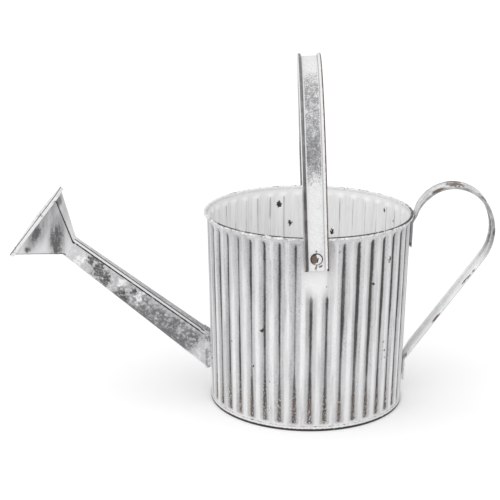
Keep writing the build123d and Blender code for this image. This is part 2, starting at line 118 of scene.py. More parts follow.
# Loop handle, given by the flat outer face of its strap in the X, Z plane
LOOP_CENTRE = Vector((122.6, 158.4)) * MM
LOOP_RADIUS = 33.4 * MM
LOOP_BACK_RADIUS = 44.0 * MM
LOOP_BLEND = radians(35)
LEG_SLOPE = radians(35.2)
UPPER_TAB_END = 138.0 * MM
UPPER_TAB_TOP = 158.5 * MM
LOWER_TAB_END = 17.5 * MM
LOWER_BEND_RADIUS = 5.0 * MM
TAB_GAP = 0.15 * MM
UPPER_RIVET_Z = 143.5 * MM
LOWER_RIVET_Z = 28.0 * MM

# The strap's rolled edges are crushed at the tabs: thickness there, angles on the loop, length on the leg
CRUSHED = 1.8 * MM
CRUSH_START = radians(136)
CRUSH_STOP = radians(166)
LEG_CRUSH = 11.0 * MM

# Rivets and washers
PIVOT_HEAD_HEIGHT = 2.2 * MM
PIVOT_HEAD_PLAY = 0.15 * MM
PIVOT_TAIL_SEAT = 84.4 * MM
RIVET_SHANK = 2.0 * MM
RIVET_HEAD_HEIGHT = 1.4 * MM
HEAD_EDGE = 0.1 * MM
TAIL_RADIUS = 3.6 * MM
TAIL_HEIGHT = 1.6 * MM
BURR_SHEET = 0.8 * MM
UPPER_BURR_DROP = 1.0 * MM
LOWER_BURR_DROP = 2.8 * MM

# Rounding of cut edges and of the seam's edges, where faces meet at more than an angle
SHARP = {"limit_method": "ANGLE", "angle_limit": radians(60)}
SOFT_EDGE = {"width": 0.2 * MM, "segments": 2, **SHARP}
SEAM_EDGE = {"width": 0.35 * MM, "segments": 3, **SHARP}

# Fineness: faces round each round piece, and how near points are merged
BASE_FACES = 192
SPOUT_FACES = 96
REACH_FACES = 256
ARCH_FACES = 72
RIVET_FACES = 48
MERGE_WITHIN = 0.002 * MM

# Stage
FLOOR_SIZE = 400.0
KEY_SPREAD = radians(100)
KEY_DIRECTION = Vector((0.25, 0.5, -1.0))

# Camera, fitted to the photograph
CAMERA_PLACE = Vector((-27.57, -1122.97, 462.51)) * MM
CAMERA_RIGHT = Vector((0.999778, 0.020767, 0.003549))
CAMERA_UP = Vector((-0.009276, 0.282659, 0.959176))
CAMERA_LENS = 98.14
CAMERA_SENSOR = 36.0

# Settings that many nodes share
SMOOTH = {"interpolation_type": "SMOOTHSTEP"}
COLOUR = {"data_type": "RGBA"}


def linear(code):
    """An sRGB hex colour as linear red, green, blue and alpha."""
    shares = [int(code[i : i + 2], 16) / 255 for i in (0, 2, 4)]
    return tuple(s / 12.92 if s <= 0.04045 else ((s + 0.055) / 1.055) ** 2.4 for s in shares) + (1.0,)


def length(name, description, default):
    """A size that the user can change."""
    return FloatProperty(
        name=name, description=description, default=default, min=0.0, precision=5, unit="LENGTH"
    )


def paint(name, description, code):
    """A colour that the user can change."""
    return FloatVectorProperty(
        name=name, description=description, default=linear(code), size=4, min=0, max=1, subtype="COLOR"
    )


class CanSizes(PropertyGroup):
    """Sizes of the sheet, the ribs, the strap and the rivets."""

    sheet: length("Sheet", "Thickness of the can's sheet", 0.5 * MM)
    rib_count: IntProperty(name="Ribs", description="Ribs round the wall", default=41, min=3)
    rib_depth: length("Rib depth", "Depth of the grooves between the ribs", 1.7 * MM)
    rib_crest: FloatProperty(
        name="Rib crest",
        description="Share of each rib that is flat",
        default=0.2,
        min=0,
        max=0.9,
        subtype="FACTOR",
    )
    rim_roll: length("Rim roll", "Outer radius of the rolled rim", 1.5 * MM)
    strap_width: length("Strap width", "Width of the handles' strap", 19.6 * MM)
    strap_sheet: length("Strap sheet", "Thickness of the handles' strap", 0.9 * MM)
    strap_roll: length("Strap roll", "Radius of the strap's rolled edges", 1.6 * MM)
    pivot_head: length("Pivot head", "Radius of the bail's rivet heads", 5.0 * MM)
    rivet_head: length("Rivet head", "Radius of the loop handle's rivet heads", 4.2 * MM)


class CanColours(PropertyGroup):
    """Colours of the whitewash, the zinc under it and what has settled on it."""

    whitewash: paint("Whitewash", "Clean whitewash", "E5E5E5")
    # A whitewash lightened beyond the real one: painted light where the inside of the can and the handle's
    # leg lie in shade
    lit_wash: paint("Lit wash", "Whitewash on the inside of the can", "FCFCFC")
    # Chalk also lays painted shade on the wall's flanks and on the rose's flat sides
    chalk: paint("Chalk", "Thin whitewash over zinc", "C0C0C2")
    # Zinc also lays the painted shade on the wall's flanks
    zinc: paint("Zinc", "Worn zinc sheet", "8B8C8E")
    # Dark zinc also lays the painted shade under the spout
    dark_zinc: paint("Dark zinc", "Bare, oxidised zinc", "585859")
    grime: paint("Grime", "Dirt in the grooves", "36322F")
    # Chip also lays the painted dark reflection on the bail's rivet heads
    chip: paint("Chip", "Chipped-off paint", "393634")
    # Rust also lays painted shade on the left of the bail's rivet heads
    rust: paint("Rust", "Rust on steel", "66564C")
    steel: paint("Steel", "Dull bare steel", "76736E")


class CanStage(PropertyGroup):
    """Floor and lights."""

    floor: paint("Floor", "Colour of the floor", "FFFFFF")
    surround: FloatProperty(
        name="Surround", description="Strength of the white surround", default=0.78, min=0
    )
    key: FloatProperty(
        name="Key light", description="Strength of the wide light above the camera", default=1.25, min=0
    )


def steps(start, stop, count):
    """Evenly spaced values from start to stop, both included."""
    return [start + (stop - start) * i / count for i in range(count + 1)]


def wall_radius(z):
    """Outer radius of the wall over its ribs at height z."""
    return WALL_FOOT_RADIUS + (z - WALL_FOOT) * WALL_LEAN


def upright(x, z, y=0.0):
    """A point of the X, Z plane in space."""
    return Vector((x, y, z))


def draw_chain(name, points):
    """A chain of edges, made by extruding one point from place to place. Left in edit mode."""
    bpy.ops.object.select_all(action="DESELECT")
    bpy.ops.mesh.primitive_plane_add(size=MM, location=points[0])
    piece = bpy.context.active_object
    piece.name = name
    bpy.ops.object.transform_apply(location=True, rotation=True, scale=True)
    bpy.ops.object.mode_set(mode="EDIT")
    bpy.ops.mesh.merge(type="CENTER")
    for here, there in zip(points, points[1:]):
        step = Vector(there) - Vector(here)
        bpy.ops.mesh.extrude_vertices_move(TRANSFORM_OT_translate={"value": step})
    bpy.ops.mesh.select_all(action="SELECT")
    return piece


def draw_loop(name, points):
    """A closed loop of edges. Left in edit mode with the loop selected."""
    piece = draw_chain(name, points)
    bpy.ops.mesh.edge_face_add()
    bpy.ops.mesh.delete(type="ONLY_FACE")
    bpy.ops.mesh.select_all(action="SELECT")
    return piece


def sweep_along(step, count):
    """Extrudes the selected edges along a straight line, in equal parts."""
    for _ in range(count):
        bpy.ops.mesh.extrude_edges_move(TRANSFORM_OT_translate={"value": step / count})


def sweep_round(centre, axis, angle, count):
    """Spins the selected edges about an axis, left-handed, in equal parts."""
    bpy.ops.mesh.spin(steps=count, angle=angle, center=centre, axis=axis)


def close_piece(fill=True):
    """Merges doubles, fills open ends, turns the faces outwards and leaves edit mode."""
    bpy.ops.mesh.select_all(action="SELECT")
    bpy.ops.mesh.remove_doubles(threshold=MERGE_WITHIN)
    if fill:
        bpy.ops.mesh.fill_holes(sides=0)
    bpy.ops.mesh.select_all(action="SELECT")
    bpy.ops.mesh.normals_make_consistent(inside=False)
    bpy.ops.object.mode_set(mode="OBJECT")
    mesh = bpy.context.active_object.data
    middle = sum((vertex.co for vertex in mesh.vertices), Vector()) / len(mesh.vertices)
    if sum(face.area * face.normal.dot(face.center - middle) for face in mesh.polygons) < 0:
        bpy.ops.object.mode_set(mode="EDIT")
        bpy.ops.mesh.flip_normals()
        bpy.ops.object.mode_set(mode="OBJECT")


def pick(piece):
    """Selects one piece alone and makes it the active one."""
    bpy.ops.object.select_all(action="DESELECT")
    piece.select_set(True)
    bpy.context.view_layer.objects.active = piece


def place_piece(piece, place):
    """Moves a piece to its place and puts the place into its mesh."""
    pick(piece)
    piece.matrix_world = place
    bpy.ops.object.transform_apply(location=True, rotation=True, scale=True)


def copy_piece(piece, name):
    """A copy of a piece with its own mesh."""
    pick(piece)
    bpy.ops.object.duplicate()
    twin = bpy.context.active_object
    twin.name = name
    return twin


def shape(piece, kind, **settings):
    """Adds a modifier to a piece and applies it."""
    bpy.context.view_layer.objects.active = piece
    modifier = piece.modifiers.new(kind, kind)
    for name, value in settings.items():
        setattr(modifier, name, value)
    bpy.ops.object.modifier_apply(modifier=modifier.name)


def cut(piece, tool, operation="DIFFERENCE", keep_tool=False):
    """Cuts, joins or trims a piece with a tool shape."""
    shape(piece, "BOOLEAN", object=tool, operation=operation, solver="EXACT")
    if not keep_tool:
        bpy.data.objects.remove(tool)


def round_bar(name, radius, start, stop, place, radius_end=None, vertices=64):
    """A closed round bar or cone along the local Z of a place, used to cut with or to start from."""
    bpy.ops.object.select_all(action="DESELECT")
    bpy.ops.mesh.primitive_cone_add(
        vertices=vertices,
        radius1=radius,
        radius2=radius if radius_end is None else radius_end,
        depth=stop - start,
        location=(0, 0, (start + stop) / 2),
    )
    bar = bpy.context.active_object
    bar.name = name
    bpy.ops.object.transform_apply(location=True, rotation=True, scale=True)
    place_piece(bar, place)
    return bar


def hand_over(piece, body, nodes, materials=(), smooth=35):
    """Shades a finished piece, paints it if it isn't painted yet, and puts it on the frame."""
    pick(piece)
    bpy.ops.object.shade_smooth_by_angle(angle=radians(smooth))
    for material in materials:
        piece.data.materials.append(material)
    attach(piece, body)
    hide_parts(*nodes)


def repaint(node, material):
    """Gives a piece of the frame, which keeps its shape, a finish of its own."""
    node.data.materials.clear()
    node.data.materials.append(material)


def turn_place(origin, x_axis, z_axis):
    """The matrix of a place with a given origin and local X and Z directions."""
    y_axis = z_axis.cross(x_axis)
    place = Matrix((x_axis, y_axis, z_axis)).transposed().to_4x4()
    place.translation = origin
    return place


SPOUT_AXIS = Vector((-cos(SPOUT_RISE), 0, sin(SPOUT_RISE)))
SPOUT_UP = Vector((sin(SPOUT_RISE), 0, cos(SPOUT_RISE)))
SPOUT_PLACE = turn_place(SPOUT_ROOT, SPOUT_UP, SPOUT_AXIS)


def seat_fade(angle, seat, width, blend):
    """0 on a seat that is pressed flat, 1 where the ribs keep their full depth."""
    away = abs((angle - seat + pi) % (2 * pi) - pi)
    return min(max((away - width) / blend, 0), 1)


def run_out(z):
    """1 on most of the wall, fading to 0 where the grooves end above the foot and below the rim."""
    share = min((z - GROOVE_START) / GROOVE_RUN_OUT, (GROOVE_STOP - z) / GROOVE_TOP_RUN_OUT)
    share = min(max(share, 0), 1)
    return share * share * (3 - 2 * share)


def seat_press(angle, z):
    """How much of the ribs' depth the seats leave at this place."""
    upper = min(max((UPPER_SEAT_BOTTOM - z) / SEAT_RUN_OUT, 0), 1)
    lower = min(max((z - LOWER_SEAT_TOP) / SEAT_RUN_OUT, 0), 1)
    keep = 1.0
    for side in (-1, 1):
        bail = seat_fade(angle, side * BAIL_SEAT_ANGLE, BAIL_SEAT_WIDTH, BAIL_SEAT_BLEND)
        keep *= max(bail, upper)
    tab = seat_fade(angle, 0, TAB_SEAT_WIDTH, TAB_SEAT_BLEND)
    return keep * max(tab, min(upper, lower))


def rib_depth(angle, z, sizes):
    """How far the sheet lies inside the crests at this place."""
    pitch = 2 * pi / sizes.rib_count
    across = abs((angle - FIRST_GROOVE) / pitch % 1 * 2 - 1)
    slope = max(across - sizes.rib_crest, 0) / (1 - sizes.rib_crest)
    return sizes.rib_depth * slope * run_out(z) * seat_press(angle, z)


def wall_section(sizes):
    """Half section of the sheet from the foot up and round over the rim's wire."""
    heights = steps(WALL_FOOT, GROOVE_START, 2)
    heights += steps(GROOVE_START, GROOVE_START + GROOVE_RUN_OUT, 5)[1:]
    heights += steps(heights[-1], UPPER_SEAT_BOTTOM - SEAT_RUN_OUT, 12)[1:]
    heights += steps(heights[-1], UPPER_SEAT_BOTTOM, 5)[1:]
    heights += steps(heights[-1], GROOVE_STOP - GROOVE_TOP_RUN_OUT, 4)[1:]
    heights += steps(heights[-1], GROOVE_STOP, 5)[1:]
    heights += steps(heights[-1], WALL_TOP, 2)[1:]
    section = [(wall_radius(z), z) for z in heights]
    inner = sizes.rim_roll - sizes.sheet
    for angle in steps(pi, RIM_ROLL_END, 12)[1:]:
        section.append((WALL_TOP_RADIUS + inner + inner * cos(angle), WALL_TOP + inner * sin(angle)))
    return section


def model_wall(sizes, paints):
    """The ribbed wall with its rolled rim and the spout's inlet, and the solid inside its outer face."""
    points = [Vector((r * cos(FIRST_GROOVE), r * sin(FIRST_GROOVE), z)) for r, z in wall_section(sizes)]
    wall = draw_chain("can_wall", points)
    sweep_round((0, 0, 0), (0, 0, 1), 2 * pi, sizes.rib_count * FACES_PER_RIB)
    close_piece(fill=False)
    for vertex in wall.data.vertices:
        x, y, z = vertex.co
        if z < GROOVE_STOP:
            drawn_in = 1 - rib_depth(atan2(y, x), z, sizes) / hypot(x, y)
            vertex.co = Vector((x * drawn_in, y * drawn_in, z))
    core = copy_piece(wall, "can_core")
    bpy.ops.object.mode_set(mode="EDIT")
    for z, up in ((UPPER_SEAT_BOTTOM, 1), (GROOVE_START, -1)):
        bpy.ops.mesh.select_all(action="SELECT")
        bpy.ops.mesh.bisect(plane_co=(0, 0, z), plane_no=(0, 0, up), use_fill=True, clear_outer=True)
    close_piece()
    for material in paints:
        wall.data.materials.append(material)
    shape(wall, "SOLIDIFY", thickness=sizes.sheet, offset=-1, material_offset=1)
    cut(wall, round_bar("inlet_drill", SPOUT_INLET_RADIUS, -2 * SPOUT_BURIED, SPOUT_BURIED, SPOUT_PLACE))
    return wall, core


def model_base(sizes):
    """The recessed floor with its skirt and the hem folded up outside the wall."""
    skirt = WALL_FOOT_RADIUS - 1.5 * sizes.sheet - SEAT_GAP
    hem = wall_radius(HEM_HEIGHT) + SEAT_GAP + sizes.sheet / 2
    fold = sizes.sheet / 2
    floor = BASE_RECESS + fold
    section = [(0, floor), (skirt, floor), (skirt, fold), (hem, fold), (hem, HEM_HEIGHT)]
    base = draw_chain("can_base", [upright(r, z) for r, z in section])
    sweep_round((0, 0, 0), (0, 0, 1), 2 * pi, BASE_FACES)
    close_piece(fill=False)
    shape(base, "SOLIDIFY", thickness=sizes.sheet, offset=0)
    shape(base, "BEVEL", **SOFT_EDGE)
    return base


def spout_cone(name, grow, start, stop):
    """The spout's cone, grown by grow, between two places along its axis."""
    foot = SPOUT_ROOT_RADIUS - SPOUT_TAPER * start + grow
    head = SPOUT_ROOT_RADIUS - SPOUT_TAPER * stop + grow
    return round_bar(name, foot, start, stop, SPOUT_PLACE, radius_end=head, vertices=SPOUT_FACES)


def model_spout(sizes, core):
    """The tapered spout with its folded seam along the near side, cut to sit on the ribs."""
    spout = spout_cone("spout", 0, -SPOUT_BURIED, SPOUT_LENGTH)
    middle = (SEAM_START + SPOUT_LENGTH) / 2
    bpy.ops.object.select_all(action="DESELECT")
    seam_size = (2 * SEAM_HEIGHT, SEAM_WIDTH, SPOUT_LENGTH - SEAM_START)
    bpy.ops.mesh.primitive_cube_add(size=1, scale=seam_size)
    seam = bpy.context.active_object
    bpy.ops.object.transform_apply(location=True, rotation=True, scale=True)
    shape(seam, "BEVEL", **SEAM_EDGE)
    lift = Matrix.Translation((SPOUT_ROOT_RADIUS - SPOUT_TAPER * middle, 0, middle))
    turned = SPOUT_PLACE @ Matrix.Rotation(SEAM_TURN, 4, "Z")
    place_piece(seam, turned @ lift @ Matrix.Rotation(-SPOUT_TAPER, 4, "Y"))
    cut(spout, seam, "UNION")
    beyond = SPOUT_LENGTH + SPOUT_BURIED
    cut(spout, round_bar("tip_trim", SPOUT_ROOT_RADIUS, SPOUT_LENGTH, beyond, SPOUT_PLACE))
    cut(spout, spout_cone("bore", -sizes.sheet, -2 * SPOUT_BURIED, beyond))
    cut(spout, core, keep_tool=True)
    return spout


def model_collar(core):
    """The sleeve round the spout's root, its outer edge parallel to the wall."""
    collar = spout_cone("spout_collar_sleeve", SEAT_GAP + COLLAR_SHEET, -SPOUT_BURIED, SPOUT_LENGTH / 3)
    cut(collar, spout_cone("sleeve_bore", SEAT_GAP, -2 * SPOUT_BURIED, SPOUT_LENGTH / 2))
    foot = wall_radius(0) + COLLAR_REACH
    head = wall_radius(WALL_TOP) + COLLAR_REACH
    level = Matrix.Identity(4)
    reach = round_bar("reach", foot, 0, WALL_TOP, level, radius_end=head, vertices=REACH_FACES)
    cut(collar, reach, "INTERSECT")
    cut(collar, core, keep_tool=True)
    shape(collar, "BEVEL", **SOFT_EDGE)
    return collar


def rounded_outline(height, width, corner, z):
    """A rounded rectangle across the spout's axis, with the same number of points at any size."""
    points = []
    for quarter in range(4):
        side_x = 1 if quarter in (0, 3) else -1
        side_y = 1 if quarter in (0, 1) else -1
        for angle in steps(quarter * pi / 2, (quarter + 1) * pi / 2, 8):
            x = side_x * (height / 2 - corner) + corner * cos(angle)
            y = side_y * (width / 2 - corner) + corner * sin(angle)
            points.append(Vector((x, y, z)))
    return points


def model_rose(sizes):
    """The rose's funnel: a sleeve round the spout's tip that flares to a four-sided mouth."""
    neck = 2 * (SPOUT_TIP_RADIUS + ROSE_NECK_PLAY)
    round_corner = neck / 2 - ROSE_NECK_FLAT
    mouth = SPOUT_LENGTH + ROSE_DEPTH - sizes.sheet - SEAT_GAP
    foot = SPOUT_LENGTH - ROSE_NECK_OVERLAP
    rose = draw_loop("rose_body", rounded_outline(neck, neck, round_corner, foot))
    sweep_along(Vector((0, 0, ROSE_NECK_LENGTH)), 1)
    bpy.ops.object.mode_set(mode="OBJECT")
    draw_loop("rose_mouth", rounded_outline(ROSE_HEIGHT, ROSE_WIDTH, ROSE_CORNER, mouth))
    bpy.ops.object.mode_set(mode="OBJECT")
    rose.select_set(True)
    bpy.context.view_layer.objects.active = rose
    bpy.ops.object.join()
    bpy.ops.object.mode_set(mode="EDIT")
    bpy.ops.mesh.select_all(action="DESELECT")
    bpy.ops.object.mode_set(mode="OBJECT")
    for edge in rose.data.edges:
        heights = [rose.data.vertices[i].co.z for i in edge.vertices]
        edge.select = min(heights) > SPOUT_LENGTH
    bpy.ops.object.mode_set(mode="EDIT")
    bpy.ops.mesh.select_mode(type="EDGE")
    bpy.ops.mesh.bridge_edge_loops(number_cuts=ROSE_ROWS, interpolation="LINEAR", profile_shape_factor=0)
    bpy.ops.mesh.select_mode(type="VERT")
    close_piece(fill=False)
    shape(rose, "SOLIDIFY", thickness=sizes.sheet, offset=-1)
    place_piece(rose, SPOUT_PLACE)
    return rose


def strap_outline(sizes):
    """Section of the strap as (across, outward) pairs: a flat web with a rolled edge at each side."""
    roll = sizes.strap_roll
    middle = sizes.strap_width / 2 - roll
    crease = pi + asin(1 - sizes.strap_sheet / roll)
    right = [(middle + roll * cos(a), roll + roll * sin(a)) for a in steps(-pi / 2, crease, 18)]
    return right + [(-across, outward) for across, outward in reversed(right)]


def model_bail(sizes):
    """The bail: a rolled-edge strap bent to an arch with two straight legs, drilled for its pivots."""
    half = BAIL_SPAN / 2
    leg = Vector((0, 0, BAIL_ARCH_CENTRE - BAIL_LEG_END))
    outline = [Vector((PIVOT.x + a, -half - out, BAIL_LEG_END)) for a, out in strap_outline(sizes)]
    bail = draw_loop("bail", outline)
    sweep_along(leg, 6)
    sweep_round((PIVOT.x, 0, BAIL_ARCH_CENTRE), (1, 0, 0), pi, ARCH_FACES)
    sweep_along(-leg, 6)
    close_piece()
    shape(bail, "BEVEL", **SOFT_EDGE)
    to_pivot = Matrix.Translation(PIVOT)
    drill = to_pivot @ Matrix.Rotation(pi / 2, 4, "X")
    cut(bail, round_bar("pivot_drill", PIVOT_RADIUS + PIVOT_FIT, -BAIL_SPAN, BAIL_SPAN, drill))
    place_piece(bail, to_pivot @ Matrix.Rotation(BAIL_LEAN, 4, "Y") @ to_pivot.inverted())
    return bail


def on_arc(centre, radius, angle):
    """A point of an arc in the X, Z plane."""
    return centre + Vector((cos(angle), sin(angle))) * radius


def upper_tab_x(z):
    """Where the upper tab's flat face lies on the wall at height z."""
    return wall_radius(z) + TAB_GAP


def lower_tab_x(z):
    """Where the lower tab's flat face stands at height z, its crushed edges against the wall."""
    return wall_radius(z) + TAB_GAP + CRUSHED


def joggle_path():
    """The flat face from the upper tab's end up the wall and round the rim to the loop."""
    path = [Vector((upper_tab_x(z), z)) for z in steps(UPPER_TAB_END, UPPER_TAB_TOP, 6)]
    rim = on_arc(LOOP_CENTRE, LOOP_RADIUS, CRUSH_STOP)
    reach = (rim - path[-1]).length
    leave = Vector((WALL_LEAN, 1)).normalized() * reach
    meet = Vector((sin(CRUSH_STOP), -cos(CRUSH_STOP))) * reach
    foot = path[-1]
    for t in steps(0, 1, 8)[1:-1]:
        point = foot * (2 * t**3 - 3 * t**2 + 1) + leave * (t**3 - 2 * t**2 + t)
        path.append(point + rim * (3 * t**2 - 2 * t**3) + meet * (t**3 - t**2))
    return path


def handle_path():
    """The handle's flat face from tab to tab, with how much the strap is crushed at each place."""
    path = [(point, 1.0) for point in joggle_path()]
    for angle in steps(CRUSH_STOP, LOOP_BLEND, 56):
        crush = min(max((angle - CRUSH_START) / (CRUSH_STOP - CRUSH_START), 0), 1)
        path.append((on_arc(LOOP_CENTRE, LOOP_RADIUS, angle), crush))
    back_centre = on_arc(LOOP_CENTRE, LOOP_RADIUS - LOOP_BACK_RADIUS, LOOP_BLEND)
    for angle in steps(LOOP_BLEND, -LEG_SLOPE, 24)[1:]:
        path.append((on_arc(back_centre, LOOP_BACK_RADIUS, angle), 0.0))
    leg_top = path[-1][0]
    drop = (leg_top.x - lower_tab_x(leg_top.y)) / (tan(LEG_SLOPE) - WALL_LEAN)
    corner = leg_top - Vector((tan(LEG_SLOPE), 1)) * drop
    down_leg = (corner - leg_top).normalized()
    bend = LEG_SLOPE - WALL_LEAN
    tangent = LOWER_BEND_RADIUS * tan(bend / 2)
    leg = (corner - leg_top).length - tangent
    for run in steps(0, leg - LEG_CRUSH, 8)[1:] + steps(leg - LEG_CRUSH, leg, 6)[1:]:
        crush = min(max((run - leg + LEG_CRUSH) / LEG_CRUSH, 0), 1)
        path.append((leg_top + down_leg * run, crush))
    bend_centre = path[-1][0] + Vector((-down_leg.y, down_leg.x)) * LOWER_BEND_RADIUS
    for angle in steps(pi - LEG_SLOPE, pi - WALL_LEAN, 6)[1:]:
        path.append((on_arc(bend_centre, LOWER_BEND_RADIUS, angle), 1.0))
    tab_top = path[-1][0].y
    path += [(Vector((lower_tab_x(z), z)), 1.0) for z in steps(tab_top, LOWER_TAB_END, 5)[1:]]
    return path


def model_handle(sizes):
    """The loop handle: the same strap, drawn straight, then bent along its path and crushed at its tabs."""
    path = handle_path()
    row = 1 * MM
    last = len(path) - 1
    handle = draw_loop("loop_handle", [Vector((out, across, 0)) for across, out in strap_outline(sizes)])
    sweep_along(Vector((0, 0, row * last)), last)
    close_piece()
    for vertex in handle.data.vertices:
        out, across, run = vertex.co
        here = round(run / row)
        point, crush = path[here]
        before = path[max(here - 1, 0)][0]
        after = path[min(here + 1, last)][0]
        along = (after - before).normalized()
        rolled = 2 * sizes.strap_roll - sizes.strap_sheet
        squeeze = 1 + crush * ((CRUSHED - sizes.strap_sheet) / rolled - 1)
        if out > sizes.strap_sheet:
            out = sizes.strap_sheet + (out - sizes.strap_sheet) * squeeze
        vertex.co = upright(*(point + Vector((along.y, -along.x)) * out), across)
    shape(handle, "BEVEL", **SOFT_EDGE)
    return handle


def dome(radius, height, seat, up):
    """Half section of a domed head from its edge to its crown."""
    ball = (radius**2 + height**2) / (2 * height)
    edge = asin(radius / ball)
    return [(ball * sin(a), seat + up * (height - ball + ball * cos(a))) for a in steps(edge, 0, 8)]


def model_rivet(name, shank, head, head_height, head_seat, tail_seat):
    """A rivet along local Z: domed head above head_seat, peened tail below tail_seat."""
    section = dome(head, head_height, head_seat, 1)[::-1]
    section += [(head - HEAD_EDGE, head_seat), (shank, head_seat), (shank, tail_seat)]
    section += dome(TAIL_RADIUS, TAIL_HEIGHT, tail_seat, -1)
    rivet = draw_chain(name, [upright(r, z) for r, z in section])
    sweep_round((0, 0, 0), (0, 0, 1), 2 * pi, RIVET_FACES)
    close_piece()
    return rivet


def add(tree, kind, inputs=(), **settings):
    """Adds one shader node, fills its inputs by order or name, and returns its outputs."""
    node = tree.nodes.new("ShaderNode" + kind)
    for name, value in settings.items():
        setattr(node, name, value)
    pairs = inputs.items() if isinstance(inputs, dict) else enumerate(inputs)
    for key, value in pairs:
        if isinstance(value, bpy.types.NodeSocket):
            tree.links.new(value, node.inputs[key])
        else:
            node.inputs[key].default_value = value
    return node.outputs


def start_finish(name):
    """An empty material, its node tree and the place on the object."""
    material = bpy.data.materials.new(name)
    material.use_nodes = True
    tree = material.node_tree
    tree.nodes.clear()
    return material, tree, add(tree, "TexCoord")["Object"]


def cloud(tree, place, size, stretch=(1, 1, 1), low=0.35, high=0.65, detail=3.0):
    """Blotches about size across, from 0 to 1, drawn out where stretch is small."""
    drawn = add(tree, "VectorMath", (place, stretch), operation="MULTIPLY")[0]
    pattern = {"Vector": drawn, "Scale": 1 / size, "Detail": detail, "Roughness": 0.6}
    noise = add(tree, "TexNoise", pattern)[0]
    return add(tree, "MapRange", (noise, low, high, 0.0, 1.0))[0]


def speckle(tree, place, amount, grain, edge=0.3, detail=3.0):
    """Breaks an amount up into grains: bare where it is 0, covered where it is 1.

    Grains of real whitewash are about 0.3 mm, too fine to show, so they are drawn at 0.9 mm or more.
    """
    noise = cloud(tree, place, grain, low=0.3, high=0.7, detail=detail)
    low = add(tree, "Math", (amount, -1.0 - edge, 1.0), operation="MULTIPLY_ADD")[0]
    high = add(tree, "Math", (low, edge), operation="ADD")[0]
    return add(tree, "MapRange", (noise, low, high, 0.0, 1.0), **SMOOTH)[0]


def smudges(tree, place, marks):
    """Soft marks: for each its middle and reach in mm along X, Y and Z, and its turn about Y in degrees."""
    total = 0.0
    for centre, reach, turn in marks:
        spot = {
            "Vector": place,
            "Location": Vector(centre) * MM,
            "Rotation": (0, radians(turn), 0),
            "Scale": Vector(reach) * MM,
        }
        local = add(tree, "Mapping", spot, vector_type="TEXTURE")[0]
        away = add(tree, "VectorMath", (local,), operation="LENGTH")["Value"]
        mark = add(tree, "MapRange", (away, 0.0, 1.0, 1.0, 0.0), **SMOOTH)[0]
        total = add(tree, "Math", (mark, total), operation="MAXIMUM")[0]
    return total


def band(tree, value, low, high, soft, most=1.0):
    """Up to most where a value is between low and high, fading over soft."""
    rise = add(tree, "MapRange", (value, low - soft, low, 0.0, most), **SMOOTH)[0]
    fall = add(tree, "MapRange", (value, high, high + soft, 1.0, 0.0), **SMOOTH)[0]
    return add(tree, "Math", (rise, fall), operation="MULTIPLY")[0]


def whitewash(tree, place, colours):
    """Whitewash brushed on by hand: uneven from place to place, some grey showing between its grains."""
    thin = cloud(tree, place, 18 * MM, low=0.3, high=0.7, detail=5.0)
    # The brush's real grain of about 0.3 mm is too fine to show and is drawn four times as coarse
    grain = cloud(tree, place, 1.2 * MM, low=0.35, high=0.75, detail=4.0)
    thin = add(tree, "MapRange", (thin, 0.0, 1.0, 0.15, 0.8))[0]
    thin = add(tree, "Math", (thin, grain), operation="MULTIPLY")[0]
    return add(tree, "Mix", {0: thin, 6: colours.whitewash, 7: colours.chalk}, **COLOUR)[2]


# Tones of bare metal and of whole paint, how metallic bare metal is, and the relief of the paint
BARE_TONE = 0.08
PAINT_TONE = 0.5
BARE_METALLIC = 0.3
PAINT_TOOTH = 0.9 * MM
PAINT_RELIEF = 0.08 * MM


def finish(tree, place, base, coats, matt=0.6, bare=0.4):
    """Lays coats over a base colour, each as a mask and a colour, and shades the result.

    Dark places are worn to the metal: smoother, a little metallic, and lower than the paint around them.
    """
    colour = base
    for mask, over in coats:
        colour = add(tree, "Mix", {0: mask, 6: colour, 7: over}, **COLOUR)[2]
    tone = add(tree, "RGBToBW", (colour,))[0]
    roughness = add(tree, "MapRange", (tone, BARE_TONE, PAINT_TONE, bare, matt))[0]
    metallic = add(tree, "MapRange", (tone, BARE_TONE, PAINT_TONE, BARE_METALLIC, 0.0))[0]
    tooth = cloud(tree, place, PAINT_TOOTH, low=0.25, high=0.75)
    relief = add(tree, "Math", (tooth, 0.3, tone), operation="MULTIPLY_ADD")[0]
    normal = add(tree, "Bump", {"Strength": 0.35, "Distance": PAINT_RELIEF, "Height": relief})[0]
    shader = {"Base Color": colour, "Roughness": roughness, "Metallic": metallic, "Normal": normal}
    surface = add(tree, "BsdfPrincipled", shader)[0]
    add(tree, "OutputMaterial", {"Surface": surface})


def wall_depth(tree, place):
    """How far a place lies inside the wall's crests, and its height."""
    flat = add(tree, "VectorMath", (place, (1, 1, 0)), operation="MULTIPLY")[0]
    radius = add(tree, "VectorMath", (flat,), operation="LENGTH")["Value"]
    height = add(tree, "SeparateXYZ", (place,))["Z"]
    crest = add(tree, "Math", (height, WALL_LEAN, wall_radius(0)), operation="MULTIPLY_ADD")[0]
    return add(tree, "Math", (crest, radius), operation="SUBTRACT")[0], height


def wall_shaded_side(tree, place):
    """1 on flanks that face one way round the can, less on those that face the other way: where the wall's
    painted shade falls, as if lit from one side.
    """
    turned = add(tree, "VectorMath", ((0, 0, 1), place), operation="CROSS_PRODUCT")[0]
    turned = add(tree, "VectorMath", (turned,), operation="NORMALIZE")[0]
    facing = add(tree, "TexCoord")["Normal"]
    lean = add(tree, "VectorMath", (facing, turned), operation="DOT_PRODUCT")["Value"]
    return add(tree, "MapRange", (lean, -0.2, 0.2, 0.35, 1.0), **SMOOTH)[0]


